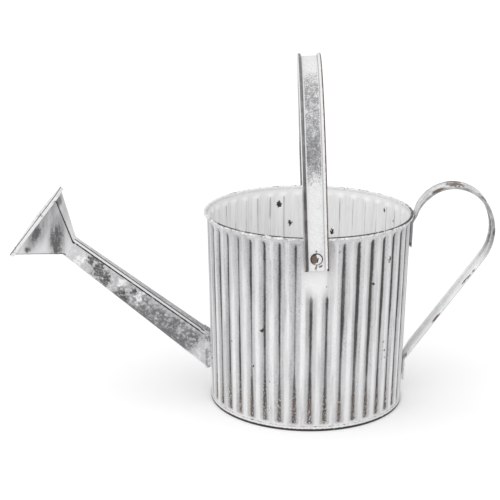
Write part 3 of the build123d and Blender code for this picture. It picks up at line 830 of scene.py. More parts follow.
# Chips in the wall's paint: angle round the can in degrees, height and half length in mm
INNER_CHIPS = (
    (107.1, 151.0, 5.0),
    (100.0, 132.9, 4.6),
    (73.7, 125.4, 4.4),
    (36.8, 154.5, 3.6),
    (27.4, 147.7, 2.2),
)
OUTER_CHIPS = (
    (-74.7, 154.8, 1.6),
    (-81.3, 126.0, 1.2),
    (-52.1, 123.4, 2.0),
    (-36.6, 120.8, 3.6),
    (-40.1, 141.0, 5.0),
    (-94.1, 111.5, 1.2),
    (-116.9, 84.7, 3.4),
    (-139.0, 68.4, 1.6),
    (-48.8, 81.5, 1.6),
    (-42.2, 69.4, 1.8),
    (-40.9, 61.7, 2.4),
    (-40.5, 55.3, 1.8),
    (-123.0, 52.1, 1.8),
    (-112.1, 41.0, 1.6),
)

# How deep the middle of a chip lies inside the crests in mm, so that it shows on crests and in grooves,
# and how wide and how long its soft mark is for its half length
CHIP_SINK = 1.1
CHIP_WIDE = 0.6
CHIP_LONG = 1.15

# Clean wash under the bail's ends. Marks are given as middle, reach and turn, as smudges takes them
BAIL_SEAT_WASH = (((5.0, 0, 131.0), (16.5, 300, 23.0), 0),)


def chips(tree, place, spots):
    """Small bare spots where the paint has come off the wall."""
    marks = []
    for angle, z, half in spots:
        radius = wall_radius(z * MM) / MM - CHIP_SINK
        centre = (radius * cos(radians(angle)), radius * sin(radians(angle)), z)
        across = CHIP_WIDE * half + CHIP_SINK
        marks.append((centre, (across, across, CHIP_LONG * half), 0))
    return speckle(tree, place, smudges(tree, place, marks), 1.6 * MM)


def wall_film_and_flank_shade(tree, place, depth, height, streak, grit):
    """A thin grey film all over but along the crests, brushed up and down, and darker flecks in it. It is
    partly painted light: a painted highlight on the white crests and painted shade on the grey flanks.
    """
    brush = cloud(tree, place, 2.2 * MM, stretch=(1, 1, 0.05))
    patch = cloud(tree, place, 34 * MM, stretch=(1, 1, 0.5))
    # Grey that grows with depth below the crests: partly thin wash over zinc, partly painted shade on the
    # flanks
    film = add(tree, "Math", (grit, 0.16 * MM, depth), operation="MULTIPLY_ADD")[0]
    film = add(tree, "Math", (brush, 0.16 * MM, film), operation="MULTIPLY_ADD")[0]
    higher = add(tree, "MapRange", (height, 85 * MM, 140 * MM, 0.0, 0.22 * MM), **SMOOTH)[0]
    film = add(tree, "Math", (film, higher), operation="ADD")[0]
    film = add(tree, "MapRange", (film, 0.14 * MM, 0.6 * MM, 0.0, 1.0), **SMOOTH)[0]
    bare = add(tree, "MapRange", (streak, 0.4, 0.9, 0.0, 0.85))[0]
    film = add(tree, "Math", (film, bare), operation="MAXIMUM")[0]
    thick = add(tree, "Math", (brush, patch), operation="ADD")[0]
    thick = add(tree, "Math", (thick, grit), operation="ADD")[0]
    thick = add(tree, "MapRange", (thick, 0.5, 2.4, 1.15, 0.5))[0]
    film = add(tree, "Math", (film, thick), operation="MULTIPLY", use_clamp=True)[0]
    flecks = add(tree, "Math", (film, 0.4), operation="MULTIPLY")[0]
    flecks = speckle(tree, place, flecks, 1.1 * MM, edge=0.9, detail=5.0)
    hairs = cloud(tree, place, 1.5 * MM, stretch=(1, 1, 0.04), low=0.5, high=0.75)
    hairs = add(tree, "Math", (hairs, 0.55), operation="MULTIPLY")[0]
    hairs = add(tree, "Math", (hairs, film), operation="MULTIPLY")[0]
    flecks = add(tree, "Math", (flecks, hairs), operation="MAXIMUM")[0]
    return film, flecks


def wall_grooves(tree, place, depth, height, streak, grit, low):
    """Painted shade, grey, on the clockwise side of each groove and deepening towards it, and the dirt in
    the groove itself.
    """
    # Painted shade: zinc grey growing towards each groove, strongest on flanks that face one way
    shade = add(tree, "Math", (streak, 0.9 * MM, depth), operation="MULTIPLY_ADD")[0]
    shade = add(tree, "MapRange", (shade, 0.75 * MM, 2.2 * MM, 0.0, 0.8))[0]
    shade = add(tree, "Math", (shade, wall_shaded_side(tree, place)), operation="MULTIPLY")[0]
    across = add(tree, "SeparateXYZ", (place,))["X"]
    handle_side = add(tree, "MapRange", (across, -10 * MM, 60 * MM, 0.0, 0.3), **SMOOTH)[0]
    upper = add(tree, "MapRange", (height, 40 * MM, 115 * MM, 0.25, 1.0), **SMOOTH)[0]
    handle_side = add(tree, "Math", (handle_side, upper), operation="MULTIPLY")[0]
    deeper = add(tree, "Math", (low, 0.25, handle_side), operation="MULTIPLY_ADD")[0]
    dirt = add(tree, "Math", (streak, 0.3 * MM, depth), operation="MULTIPLY_ADD")[0]
    dirt = add(tree, "Math", (grit, 0.22 * MM, dirt), operation="MULTIPLY_ADD")[0]
    dirt = add(tree, "Math", (deeper, 1 * MM, dirt), operation="MULTIPLY_ADD")[0]
    groove = add(tree, "MapRange", (dirt, 1.46 * MM, 1.9 * MM, 0.0, 0.97), **SMOOTH)[0]
    faded = cloud(tree, place, 17 * MM, stretch=(1, 1, 0.4), low=0.34, high=0.62, detail=5.0)
    faded = add(tree, "MapRange", (faded, 0.0, 1.0, 0.55, 1.0))[0]
    faded = add(tree, "Math", (upper, 0.14, faded), operation="MULTIPLY_ADD")[0]
    faded = add(tree, "Math", (faded, deeper), operation="ADD", use_clamp=True)[0]
    groove = add(tree, "Math", (groove, faded), operation="MULTIPLY")[0]
    return shade, groove


def wall_foot(tree, place, depth, height, low):
    """Splashed soil near the foot, grains of wash over it, and a dark line above the hem."""
    soil = add(tree, "MapRange", (depth, 0.2 * MM, 1.6 * MM, 0.26, 0.58))[0]
    soil = add(tree, "Math", (soil, low), operation="MULTIPLY")[0]
    soil = speckle(tree, place, soil, 1.0 * MM, edge=0.9)
    grains = add(tree, "MapRange", (low, 0.0, 1.0, 0.16, 0.33))[0]
    grains = speckle(tree, place, grains, 1.0 * MM, edge=0.6)
    hem = band(tree, height, 3.4 * MM, 4.2 * MM, 0.5 * MM, most=0.35)
    hem = speckle(tree, place, hem, 2.0 * MM, edge=0.6)
    return soil, grains, hem


def paint_wall(colours):
    """Whitewash dry-brushed on zinc sheet: thick on the crests, thin on the flanks, dirt in the grooves.
    The white crests and grey flanks are partly painted light, and the flanks also carry painted shade.
    """
    material, tree, place = start_finish("Whitewash over zinc, ribbed wall")
    depth, height = wall_depth(tree, place)
    # The paint stays as strong where the grooves run out below the rim
    ending = (height, GROOVE_STOP, GROOVE_STOP - GROOVE_TOP_RUN_OUT, 0.1, 1.0)
    ending = add(tree, "MapRange", ending, **SMOOTH)[0]
    depth = add(tree, "Math", (depth, ending), operation="DIVIDE")[0]
    wash = whitewash(tree, place, colours)
    # Streaks of the brush, grit, and how near the foot a place is
    streak = cloud(tree, place, 8 * MM, stretch=(1, 1, 0.09))
    grit = cloud(tree, place, 1.2 * MM, low=0.3, high=0.7)
    low = add(tree, "MapRange", (height, 58 * MM, 14 * MM, 0.0, 1.0), **SMOOTH)[0]
    film, flecks = wall_film_and_flank_shade(tree, place, depth, height, streak, grit)
    shade, groove = wall_grooves(tree, place, depth, height, streak, grit, low)
    soil, grains, hem = wall_foot(tree, place, depth, height, low)
    # Clean wash on the seats under the bail's ends
    seats = smudges(tree, place, BAIL_SEAT_WASH)
    seats = add(tree, "Math", (seats, 1.6), operation="MULTIPLY", use_clamp=True)[0]
    coats = [
        # Grey film on the flanks, partly painted shade
        (film, colours.chalk),
        (flecks, colours.zinc),
        # Painted shade on the flanks
        (shade, colours.zinc),
        (groove, colours.grime),
        (soil, colours.rust),
        (grains, colours.whitewash),
        (seats, wash),
        (hem, colours.grime),
        (chips(tree, place, OUTER_CHIPS), colours.chip),
    ]
    finish(tree, place, wash, coats)
    return material


def worn_rim(tree, place, height):
    """Bare metal along the rim's top, and on the near side a duller bead with bare spots."""
    parts = add(tree, "SeparateXYZ", (place,))
    handle_side = add(tree, "MapRange", (parts["X"], -85 * MM, -70 * MM, 0.35, 1.0), **SMOOTH)[0]
    near = add(tree, "MapRange", (parts["Y"], 40 * MM, -25 * MM, 0.4, 1.0), **SMOOTH)[0]
    rubbed = cloud(tree, place, 10 * MM, low=0.2, high=0.55, detail=4.0)
    rubbed = add(tree, "Math", (rubbed, handle_side), operation="MULTIPLY", use_clamp=True)[0]
    rubbed = add(tree, "Math", (rubbed, near), operation="MULTIPLY")[0]
    top = add(tree, "MapRange", (height, 166.9 * MM, 167.3 * MM, 0.0, 1.0), **SMOOTH)[0]
    top = add(tree, "Math", (top, rubbed), operation="MULTIPLY")[0]
    top = speckle(tree, place, top, 1.5 * MM, edge=0.5)
    spots = cloud(tree, place, 5 * MM, low=0.4, high=0.66, detail=5.0)
    spots = add(tree, "Math", (spots, 0.62), operation="MULTIPLY")[0]
    bead = add(tree, "MapRange", (height, 164.3 * MM, 164.9 * MM, 0.0, 1.0), **SMOOTH)[0]
    bead = add(tree, "Math", (bead, near), operation="MULTIPLY")[0]
    spots = add(tree, "Math", (spots, bead), operation="MULTIPLY")[0]
    dulled = cloud(tree, place, 3.5 * MM, low=0.3, high=0.62, detail=5.0)
    dulled = add(tree, "MapRange", (dulled, 0.0, 1.0, 0.2, 1.0))[0]
    dulled = add(tree, "Math", (dulled, bead), operation="MULTIPLY")[0]
    spots = speckle(tree, place, spots, 1.4 * MM)
    return top, dulled, spots


def paint_inside(colours):
    """Thin whitewash on the inside of the zinc sheet: upright hairlines, a clean band, a worn rim, over a
    lightened base that is painted light.
    """
    material, tree, place = start_finish("Thin whitewash over zinc, inside of the can")
    depth, height = wall_depth(tree, place)
    # Brush marks, and thin dark lines that come and go along the ribs and between them
    brushed = cloud(tree, place, 2.0 * MM, stretch=(1, 1, 0.03), low=0.42, high=0.75)
    brushed = add(tree, "Math", (brushed, 0.34), operation="MULTIPLY")[0]
    hairs = cloud(tree, place, 1.3 * MM, stretch=(1, 1, 0.02), low=0.63, high=0.72, detail=2.0)
    worn = cloud(tree, place, 16 * MM, stretch=(1, 1, 0.5), low=0.4, high=0.6)
    hairs = add(tree, "Math", (hairs, worn), operation="MULTIPLY")[0]
    hairs = add(tree, "Math", (hairs, 0.6), operation="MULTIPLY")[0]
    line = add(tree, "Math", (worn, 0.12 * MM, depth), operation="MULTIPLY_ADD")[0]
    line = add(tree, "MapRange", (line, 2.12 * MM, 2.22 * MM, 0.0, 0.7), **SMOOTH)[0]
    # The plain band under the rim is clean, laid in the lightened wash, partly painted light along the top
    # of the inside
    band_top = add(tree, "MapRange", (height, 158.5 * MM, 161.5 * MM, 0.0, 0.85), **SMOOTH)[0]
    top, dulled, spots = worn_rim(tree, place, height)
    coats = [
        (brushed, colours.chalk),
        (hairs, colours.zinc),
        (line, colours.zinc),
        (band_top, colours.lit_wash),
        (dulled, colours.chalk),
        (spots, colours.zinc),
        (top, colours.chip),
        (chips(tree, place, INNER_CHIPS), colours.chip),
    ]
    # The inside is based on the lightened wash, a painted light over its shade
    finish(tree, place, colours.lit_wash, coats)
    return material


def paint_base(colours):
    """Whitewash over folded zinc sheet: rubbed dark along the edge that it stands on."""
    material, tree, place = start_finish("Whitewash over zinc, folded foot")
    height = add(tree, "SeparateXYZ", (place,))["Z"]
    foot = add(tree, "MapRange", (height, 2.7 * MM, 1.3 * MM, 0.0, 1.25), **SMOOTH)[0]
    lip = add(tree, "MapRange", (height, 3.1 * MM, 3.5 * MM, 0.0, 0.3), **SMOOTH)[0]
    rubbed = cloud(tree, place, 9 * MM, low=0.2, high=0.45, detail=5.0)
    edge = add(tree, "Math", (foot, lip), operation="ADD")[0]
    edge = add(tree, "Math", (edge, rubbed), operation="MULTIPLY", use_clamp=True)[0]
    edge = speckle(tree, place, edge, 1.8 * MM, edge=0.5)
    finish(tree, place, whitewash(tree, place, colours), [(edge, colours.grime)])
    return material


def spout_local(tree, place, turn=0.0):
    """A place seen from the spout's root: X up the slope, Y across the can, Z along the spout."""
    turned = SPOUT_PLACE @ Matrix.Rotation(turn, 4, "Z")
    spot = {"Vector": place, "Location": SPOUT_ROOT, "Rotation": turned.to_euler()}
    local = add(tree, "Mapping", spot, vector_type="TEXTURE")[0]
    return local, add(tree, "SeparateXYZ", (local,))


# Bare blotches and clean patches on the spout, in its own X, Y and Z
SPOUT_BLOTCHES = (
    ((4.0, 0, 123.0), (8.0, 40, 7.5), 0),
    ((1.0, 0, 113.0), (14.0, 40, 11.0), 0),
    ((-3.0, 0, 104.0), (15.0, 40, 12.0), 0),
    ((-7.0, 0, 84.0), (15.0, 40, 12.5), 0),
    ((3.5, 0, 77.0), (6.0, 40, 6.0), 0),
)
SPOUT_CLEAN = (
    ((2.0, 0, 70.0), (14.0, 40, 12.0), 0),
    ((3.0, 0, 91.0), (12.0, 40, 8.0), 0),
    ((-3.0, 0, 130.0), (16.0, 40, 11.0), 0),
)


def spout_wear(tree, place, up, along, ends):
    """Grey metal in soft clouds, mostly towards the root, fine flecks in it, and grains of wash left."""
    worn = add(tree, "MapRange", (along, 106 * MM, 66 * MM, 0.3, 1.0), **SMOOTH)[0]
    worn = add(tree, "Math", (worn, ends), operation="MULTIPLY")[0]
    upper = add(tree, "MapRange", (up, 6 * MM, 9 * MM, 1.0, 0.45), **SMOOTH)[0]
    worn = add(tree, "Math", (worn, upper), operation="MULTIPLY")[0]
    uneven = cloud(tree, place, 9 * MM, low=0.3, high=0.7, detail=8.0)
    uneven = add(tree, "MapRange", (uneven, 0.0, 1.0, 0.45, 1.2))[0]
    worn = add(tree, "Math", (worn, uneven), operation="MULTIPLY", use_clamp=True)[0]
    flecks = add(tree, "Math", (worn, 0.7), operation="MULTIPLY")[0]
    flecks = speckle(tree, place, flecks, 2.4 * MM, edge=0.5, detail=8.0)
    flecks = add(tree, "Math", (flecks, 0.75), operation="MULTIPLY")[0]
    left = speckle(tree, place, 0.38, 2.8 * MM, edge=0.4, detail=8.0)
    left = add(tree, "Math", (left, 0.42), operation="MULTIPLY")[0]
    return worn, flecks, left


def spout_dirt_and_shade(tree, place, local, up, along, ends):
    """Painted shade on the underside, blotches with ragged edges, and a dark line of painted shade along
    the lower edge.
    """
    # Painted shadow: dark zinc on the underside towards the root
    below = add(tree, "MapRange", (up, 0 * MM, -11 * MM, 0.0, 0.62), **SMOOTH)[0]
    root = band(tree, along, 14 * MM, 76 * MM, 12 * MM)
    below = add(tree, "Math", (below, root), operation="MULTIPLY")[0]
    below = speckle(tree, place, below, 2.0 * MM, edge=1.1, detail=6.0)
    torn = cloud(tree, place, 5 * MM, low=0.3, high=0.65, detail=6.0)
    torn = add(tree, "MapRange", (torn, 0.0, 1.0, 0.5, 1.3))[0]
    blotch = add(tree, "Math", (smudges(tree, local, SPOUT_BLOTCHES), torn), operation="MULTIPLY")[0]
    blotch = add(tree, "Math", (blotch, 1.05), operation="MULTIPLY", use_clamp=True)[0]
    blotch = speckle(tree, place, blotch, 3.4 * MM, edge=0.45, detail=9.0)
    gritty = cloud(tree, place, 1.7 * MM, low=0.3, high=0.6, detail=4.0)
    gritty = add(tree, "MapRange", (gritty, 0.0, 1.0, 0.45, 0.95))[0]
    blotch = add(tree, "Math", (blotch, gritty), operation="MULTIPLY")[0]
    # Painted shade: a dark line along the lower edge
    half = add(tree, "MapRange", (along, 0.0, SPOUT_LENGTH, SPOUT_ROOT_RADIUS, SPOUT_TIP_RADIUS))[0]
    out = add(tree, "Math", (up, half), operation="DIVIDE")[0]
    edge = add(tree, "MapRange", (out, -0.8, -0.97, 0.0, 0.75), **SMOOTH)[0]
    edge = add(tree, "Math", (edge, ends), operation="MULTIPLY")[0]
    edge = speckle(tree, place, edge, 2.2 * MM, edge=0.7, detail=5.0)
    return below, blotch, edge


def spout_seam(tree, place):
    """Two lines of dirt along the folded seam, and wash on its ridge."""
    _, folded = spout_local(tree, place, SEAM_TURN)
    top = add(tree, "MapRange", (folded["X"], 5 * MM, 7 * MM, 0.0, 0.9), **SMOOTH)[0]
    seam = band(tree, folded["Y"], -2.2 * MM, -1.65 * MM, 0.3 * MM, most=0.8)
    behind = band(tree, folded["Y"], 0.75 * MM, 1.7 * MM, 0.3 * MM)
    seam = add(tree, "Math", (seam, behind), operation="MAXIMUM")[0]
    seam = add(tree, "Math", (seam, top), operation="MULTIPLY")[0]
    seam = speckle(tree, place, seam, 2.6 * MM, edge=0.8)
    ridge = band(tree, folded["Y"], -1.5 * MM, 0.6 * MM, 0.2 * MM, most=0.85)
    ridge = add(tree, "Math", (ridge, top), operation="MULTIPLY")[0]
    return seam, ridge


def paint_spout(colours):
    """Whitewash worn off zinc sheet: clean at the tip, blotched in the middle, grey metal at the root,
    painted shade underneath.
    """
    material, tree, place = start_finish("Worn whitewash over zinc, spout")
    local, parts = spout_local(tree, place)
    up, along = parts["X"], parts["Z"]
    # The wear stops short of the collar and of the tip
    ends = band(tree, along, 10 * MM, 124 * MM, 9 * MM)
    worn, flecks, left = spout_wear(tree, place, up, along, ends)
    # Patches where the wash has held
    clean = add(tree, "Math", (smudges(tree, local, SPOUT_CLEAN), 0.72), operation="MULTIPLY")[0]
    clean = speckle(tree, place, clean, 3.6 * MM, edge=0.5, detail=9.0)
    below, blotch, edge = spout_dirt_and_shade(tree, place, local, up, along, ends)
    seam, ridge = spout_seam(tree, place)
    coats = [
        (worn, colours.zinc),
        (flecks, colours.dark_zinc),
        (left, colours.whitewash),
        (clean, colours.whitewash),
        # Painted shadow under the spout
        (below, colours.dark_zinc),
        (blotch, colours.grime),
        # Painted shade along the lower edge
        (edge, colours.dark_zinc),
        (ridge, colours.whitewash),
        (seam, colours.grime),
    ]
    dull = cloud(tree, place, 6 * MM, low=0.3, high=0.52, detail=8.0)
    wash = whitewash(tree, place, colours)
    base = add(tree, "Mix", {0: dull, 6: wash, 7: colours.chalk}, **COLOUR)[2]
    finish(tree, place, base, coats)
    return material


def paint_collar(colours):
    """Whitewash over zinc sheet: a light sleeve, rubbed grey in places."""
    material, tree, place = start_finish("Whitewash over zinc, spout collar")
    rubbed = cloud(tree, place, 6 * MM, low=0.3, high=0.6, detail=5.0)
    rubbed = add(tree, "MapRange", (rubbed, 0.0, 1.0, 0.15, 0.65))[0]
    rubbed = speckle(tree, place, rubbed, 1.8 * MM, edge=0.8, detail=5.0)
    finish(tree, place, whitewash(tree, place, colours), [(rubbed, colours.zinc)])
    return material


# Grey marks of a dry brush on the rose's sides, and their darker feet
ROSE_BRUSHED = (
    ((-226.0, 0, 153.5), (11.5, 60, 31.0), 26),
    ((-233.5, 0, 143.0), (9.0, 60, 17.0), 24),
    ((-213.8, 0, 150.0), (12.0, 60, 34.0), 2),
    ((-217.0, 0, 168.0), (9.0, 60, 18.0), 18),
)
ROSE_DARK = (
    ((-214.4, 0, 143.0), (10.0, 60, 29.0), 4),
    ((-213.6, 0, 132.0), (8.0, 60, 9.0), 0),
    ((-230.5, 0, 149.0), (7.0, 60, 21.0), 26),
    ((-238.6, 0, 134.0), (5.0, 60, 6.0), 30),
    ((-211.3, -8, 176.0), (3.5, 22, 8.0), -22),
)

# Where the corner lines of the funnel start on its round neck, as a share of the neck's radius
NECK_CORNER = 0.72


def rose_corners_and_side_shade(tree, place):
    """Dark lines along the funnel's corners, and painted shade on its flat sides, which makes them duller
    than its top.
    """
    _, parts = spout_local(tree, place)
    flare = (parts["Z"], SPOUT_LENGTH, SPOUT_LENGTH + ROSE_DEPTH)
    # Gaps to the funnel's sides, which are both small along its corners
    gaps = []
    for axis, mouth in (("X", ROSE_HEIGHT), ("Y", ROSE_WIDTH)):
        half = add(tree, "MapRange", flare + (NECK_CORNER * SPOUT_TIP_RADIUS, mouth / 2))[0]
        across = add(tree, "Math", (parts[axis],), operation="ABSOLUTE")[0]
        gaps.append(add(tree, "Math", (half, across), operation="SUBTRACT")[0])
    corner = add(tree, "Math", gaps, operation="MAXIMUM")[0]
    crease = add(tree, "MapRange", (corner, 0.4 * MM, 1.2 * MM, 0.9, 0.0), **SMOOTH)[0]
    crease = speckle(tree, place, crease, 1.6 * MM, edge=0.7)
    # Painted shade: chalk on the flat sides, so that the top stays lighter as if lit from above
    side = add(tree, "Math", (gaps[1], gaps[0]), operation="SUBTRACT")[0]
    side = add(tree, "MapRange", (side, 1 * MM, -1 * MM, 0.0, 0.5))[0]
    return crease, side


def paint_rose(colours):
    """Whitewash over folded zinc sheet: grey marks where a dry brush passed, dark lines on the corners,
    painted shade on the flat sides.
    """
    material, tree, place = start_finish("Whitewash over zinc, rose")
    streak = cloud(tree, place, 2.4 * MM, stretch=(1, 1, 0.12), low=0.25, high=0.7, detail=6.0)
    streak = add(tree, "MapRange", (streak, 0.0, 1.0, 0.4, 1.0))[0]
    brushed = smudges(tree, place, ROSE_BRUSHED)
    brushed = add(tree, "Math", (brushed, 1.8), operation="MULTIPLY", use_clamp=True)[0]
    brushed = add(tree, "Math", (brushed, streak), operation="MULTIPLY")[0]
    brushed = add(tree, "Math", (brushed, 0.95), operation="MULTIPLY")[0]
    dark = smudges(tree, place, ROSE_DARK)
    dark = add(tree, "Math", (dark, 1.25), operation="MULTIPLY", use_clamp=True)[0]
    dark = add(tree, "Math", (dark, streak), operation="MULTIPLY")[0]
    grains = speckle(tree, place, dark, 1.8 * MM, edge=0.9, detail=6.0)
    dark = add(tree, "Math", (dark, grains), operation="ADD")[0]
    dark = add(tree, "Math", (dark, 0.6), operation="MULTIPLY")[0]
    crease, side = rose_corners_and_side_shade(tree, place)
    coats = [
        # Painted shade on the flat sides
        (side, colours.chalk),
        (brushed, colours.zinc),
        (dark, colours.dark_zinc),
        (crease, colours.chip),
    ]
    finish(tree, place, whitewash(tree, place, colours), coats)
    return material


def paint_rose_face(colours):
    """Whitewash over pierced zinc sheet: rubbed grey, with a dark line along the fold."""
    material, tree, place = start_finish("Whitewash over zinc, rose face")
    rubbed = cloud(tree, place, 8 * MM, low=0.38, high=0.66, detail=5.0)
    rubbed = add(tree, "Math", (rubbed, 0.55), operation="MULTIPLY")[0]
    rubbed = speckle(tree, place, rubbed, 1.4 * MM, edge=0.6)
    _, parts = spout_local(tree, place)
    edge = SPOUT_LENGTH + ROSE_DEPTH
    fold = band(tree, parts["Z"], edge - 0.6 * MM, edge - 0.3 * MM, 0.35 * MM, most=0.9)
    fold = speckle(tree, place, fold, 2.4 * MM, edge=0.7)
    coats = [(rubbed, colours.zinc), (fold, colours.chip)]
    finish(tree, place, whitewash(tree, place, colours), coats)
    return material


# Rust and dirt at the ends of the bail, seen from its pivot
BAIL_RUST = (
    ((-0.5, 0, -7.0), (2.2, 200, 4.5), 10),
    ((3.2, 0, -6.0), (3.5, 200, 2.4), -20),
    ((0, 0, 6.3), (1.2, 200, 2.0), 0),
)
BAIL_CORNERS = (
    ((-8.6, 0, -9.6), (2.4, 200, 2.2), 0),
    ((8.8, 0, -8.6), (2.2, 200, 3.2), 0),
    ((0.5, 0, -10.8), (10.0, 200, 1.3), 0),
)


def bail_handling(tree, place, across, height):
    """The grey that hands have left on the web, and darker flecks in it."""
    web = band(tree, across, -5.0 * MM, 5.2 * MM, 1.2 * MM)
    held = band(tree, height, 74 * MM, 121 * MM, 33 * MM, most=0.6)
    hard = band(tree, height, 78 * MM, 94 * MM, 12 * MM, most=0.14)
    held = add(tree, "Math", (held, hard), operation="ADD")[0]
    crown = add(tree, "MapRange", (height, 118 * MM, 134 * MM, 0.0, 0.14), **SMOOTH)[0]
    held = add(tree, "Math", (held, crown), operation="ADD")[0]
    held = add(tree, "Math", (held, web), operation="MULTIPLY")[0]
    wiped = cloud(tree, place, 4 * MM, stretch=(1, 1, 0.3), low=0.2, high=0.8, detail=5.0)
    wiped = add(tree, "MapRange", (wiped, 0.0, 1.0, 0.55, 1.35))[0]
    held = add(tree, "Math", (held, wiped), operation="MULTIPLY")[0]
    flecks = add(tree, "Math", (held, 0.55), operation="MULTIPLY")[0]
    flecks = speckle(tree, place, flecks, 1.6 * MM, edge=0.6, detail=6.0)
    flecks = add(tree, "Math", (flecks, 0.75), operation="MULTIPLY")[0]
    held = speckle(tree, place, held, 0.9 * MM, edge=0.8)
    return held, flecks


def bail_roll(tree, place, across, height):
    """The roll on the spout's side painted dark, its outermost edge left light higher up."""
    uneven = cloud(tree, place, 9 * MM, low=0.2, high=0.5, detail=4.0)
    uneven = add(tree, "MapRange", (uneven, 0.0, 1.0, 0.75, 1.0))[0]
    inner_roll = band(tree, across, -8.7 * MM, -6.7 * MM, 0.5 * MM, most=0.95)
    foot = add(tree, "MapRange", (height, 70 * MM, 48 * MM, 0.0, 0.65), **SMOOTH)[0]
    outer_roll = add(tree, "MapRange", (across, -7.0 * MM, -8.0 * MM, 0.0, 1.0), **SMOOTH)[0]
    outer_roll = add(tree, "Math", (outer_roll, foot), operation="MULTIPLY")[0]
    roll = add(tree, "Math", (inner_roll, outer_roll), operation="MAXIMUM")[0]
    roll = add(tree, "Math", (roll, uneven), operation="MULTIPLY")[0]
    fresh = add(tree, "MapRange", (height, 84 * MM, 52 * MM, 0.85, 1.0), **SMOOTH)[0]
    roll = add(tree, "Math", (roll, fresh), operation="MULTIPLY")[0]
    return roll


def paint_bail(colours):
    """Whitewash over steel strap: one roll dark, the web rubbed grey where a hand holds it."""
    material, tree, place = start_finish("Whitewash over steel strap, bail")
    spot = {"Vector": place, "Location": PIVOT, "Rotation": (0, BAIL_LEAN, 0)}
    local = add(tree, "Mapping", spot, vector_type="TEXTURE")[0]
    parts = add(tree, "SeparateXYZ", (local,))
    across, height = parts["X"], parts["Z"]
    held, flecks = bail_handling(tree, place, across, height)
    roll = bail_roll(tree, place, across, height)
    # Thin dark lines: the crease beside the roll on the handle's side, and that roll's outer edge
    crease = band(tree, across, 6.2 * MM, 6.7 * MM, 0.3 * MM, most=0.5)
    edge = add(tree, "MapRange", (across, 8.3 * MM, 9.1 * MM, 0.0, 1.0), **SMOOTH)[0]
    edge = speckle(tree, place, edge, 2.2 * MM, edge=0.6)
    # Rust round the rivets, and the dark corners of the strap's ends
    rust = smudges(tree, local, BAIL_RUST)
    rust = add(tree, "Math", (rust, 1.5), operation="MULTIPLY", use_clamp=True)[0]
    rust = speckle(tree, place, rust, 1.2 * MM, edge=0.5)
    corner = smudges(tree, local, BAIL_CORNERS)
    corner = add(tree, "Math", (corner, 1.5), operation="MULTIPLY", use_clamp=True)[0]
    corner = speckle(tree, place, corner, 1.5 * MM, edge=0.5)
    coats = [
        (held, colours.zinc),
        (flecks, colours.dark_zinc),
        (crease, colours.zinc),
        (roll, colours.grime),
        (edge, colours.rust),
        (rust, colours.rust),
        (corner, colours.grime),
    ]
    finish(tree, place, whitewash(tree, place, colours), coats)
    return material


# Worn marks on the loop handle
HANDLE_MARKS = (
    ((122.0, 0, 192.5), (23.0, 40, 3.4), 0),
    ((146.5, -9.0, 182.5), (15.0, 7.0, 2.6), 46),
    ((92.0, -10.0, 178.0), (16.0, 4.5, 5.0), -50),
    ((106.0, -10.0, 188.0), (14.0, 4.5, 4.0), -22),
    ((135.5, -10.2, 111.0), (2.6, 1.7, 22.0), 40),
    ((111.0, -10.2, 75.0), (2.4, 1.7, 10.0), 38),
    ((157.5, -9.5, 152.0), (3.0, 4.0, 6.0), 0),
    ((85.5, -6.0, 39.0), (4.5, 8.0, 6.0), 35),
    ((85.0, -6.0, 27.0), (3.0, 6.0, 3.5), 0),
    ((88.0, -7.0, 164.0), (3.0, 6.0, 4.5), 20),
    ((87.0, -7.0, 141.0), (3.0, 5.0, 3.5), 0),
)


def paint_handle(colours):
    """Whitewash over steel strap: rubbed brown on the outside of the loop, chipped along its edges."""
    material, tree, place = start_finish("Whitewash over steel strap, loop handle")
    rubbed = cloud(tree, place, 6 * MM, low=0.25, high=0.55, detail=5.0)
    marks = add(tree, "Math", (smudges(tree, place, HANDLE_MARKS), 1.3), operation="MULTIPLY")[0]
    marks = add(tree, "Math", (marks, rubbed), operation="MULTIPLY", use_clamp=True)[0]
    marks = speckle(tree, place, marks, 1.4 * MM, edge=0.8, detail=5.0)
    # A thin film of grey on the loop and on what faces away from the can, least on the leg's inside
    parts = add(tree, "SeparateXYZ", (place,))
    film = cloud(tree, place, 16 * MM, low=0.35, high=0.7, detail=5.0)
    worn = add(tree, "MapRange", (parts["Z"], 120 * MM, 150 * MM, 0.15, 1.0), **SMOOTH)[0]
    facing = add(tree, "SeparateXYZ", (add(tree, "TexCoord")["Normal"],))["X"]
    outside = add(tree, "MapRange", (facing, 0.1, 0.5, 0.0, 0.6), **SMOOTH)[0]
    worn = add(tree, "Math", (worn, outside), operation="MAXIMUM")[0]
    film = add(tree, "Math", (film, worn), operation="MULTIPLY")[0]
    film = speckle(tree, place, film, 1.6 * MM, edge=0.9)
    # Thin lines of dirt along the strap's two edges
    side = add(tree, "Math", (parts["Y"],), operation="ABSOLUTE")[0]
    edge = add(tree, "MapRange", (side, 9.0 * MM, 9.6 * MM, 0.0, 0.75), **SMOOTH)[0]
    crease = band(tree, side, 6.1 * MM, 6.9 * MM, 0.4 * MM, most=0.75)
    edge = add(tree, "Math", (edge, crease), operation="MAXIMUM")[0]
    thin = add(tree, "MapRange", (rubbed, 0.0, 1.0, 0.4, 1.0))[0]
    lines = add(tree, "MapRange", (worn, 0.15, 1.0, 0.3, 0.9))[0]
    thin = add(tree, "Math", (thin, lines), operation="MULTIPLY")[0]
    edge = add(tree, "Math", (edge, thin), operation="MULTIPLY")[0]
    coats = [(film, colours.chalk), (edge, colours.dark_zinc), (marks, colours.rust)]
    # The least worn faces, on the leg's inside, take the lightened wash: painted light on faces that lie in
    # shade
    fresh = add(tree, "MapRange", (worn, 0.15, 0.45, 0.95, 0.0))[0]
    wash = whitewash(tree, place, colours)
    base = add(tree, "Mix", {0: fresh, 6: wash, 7: colours.lit_wash}, **COLOUR)[2]
    finish(tree, place, base, coats)
    return material


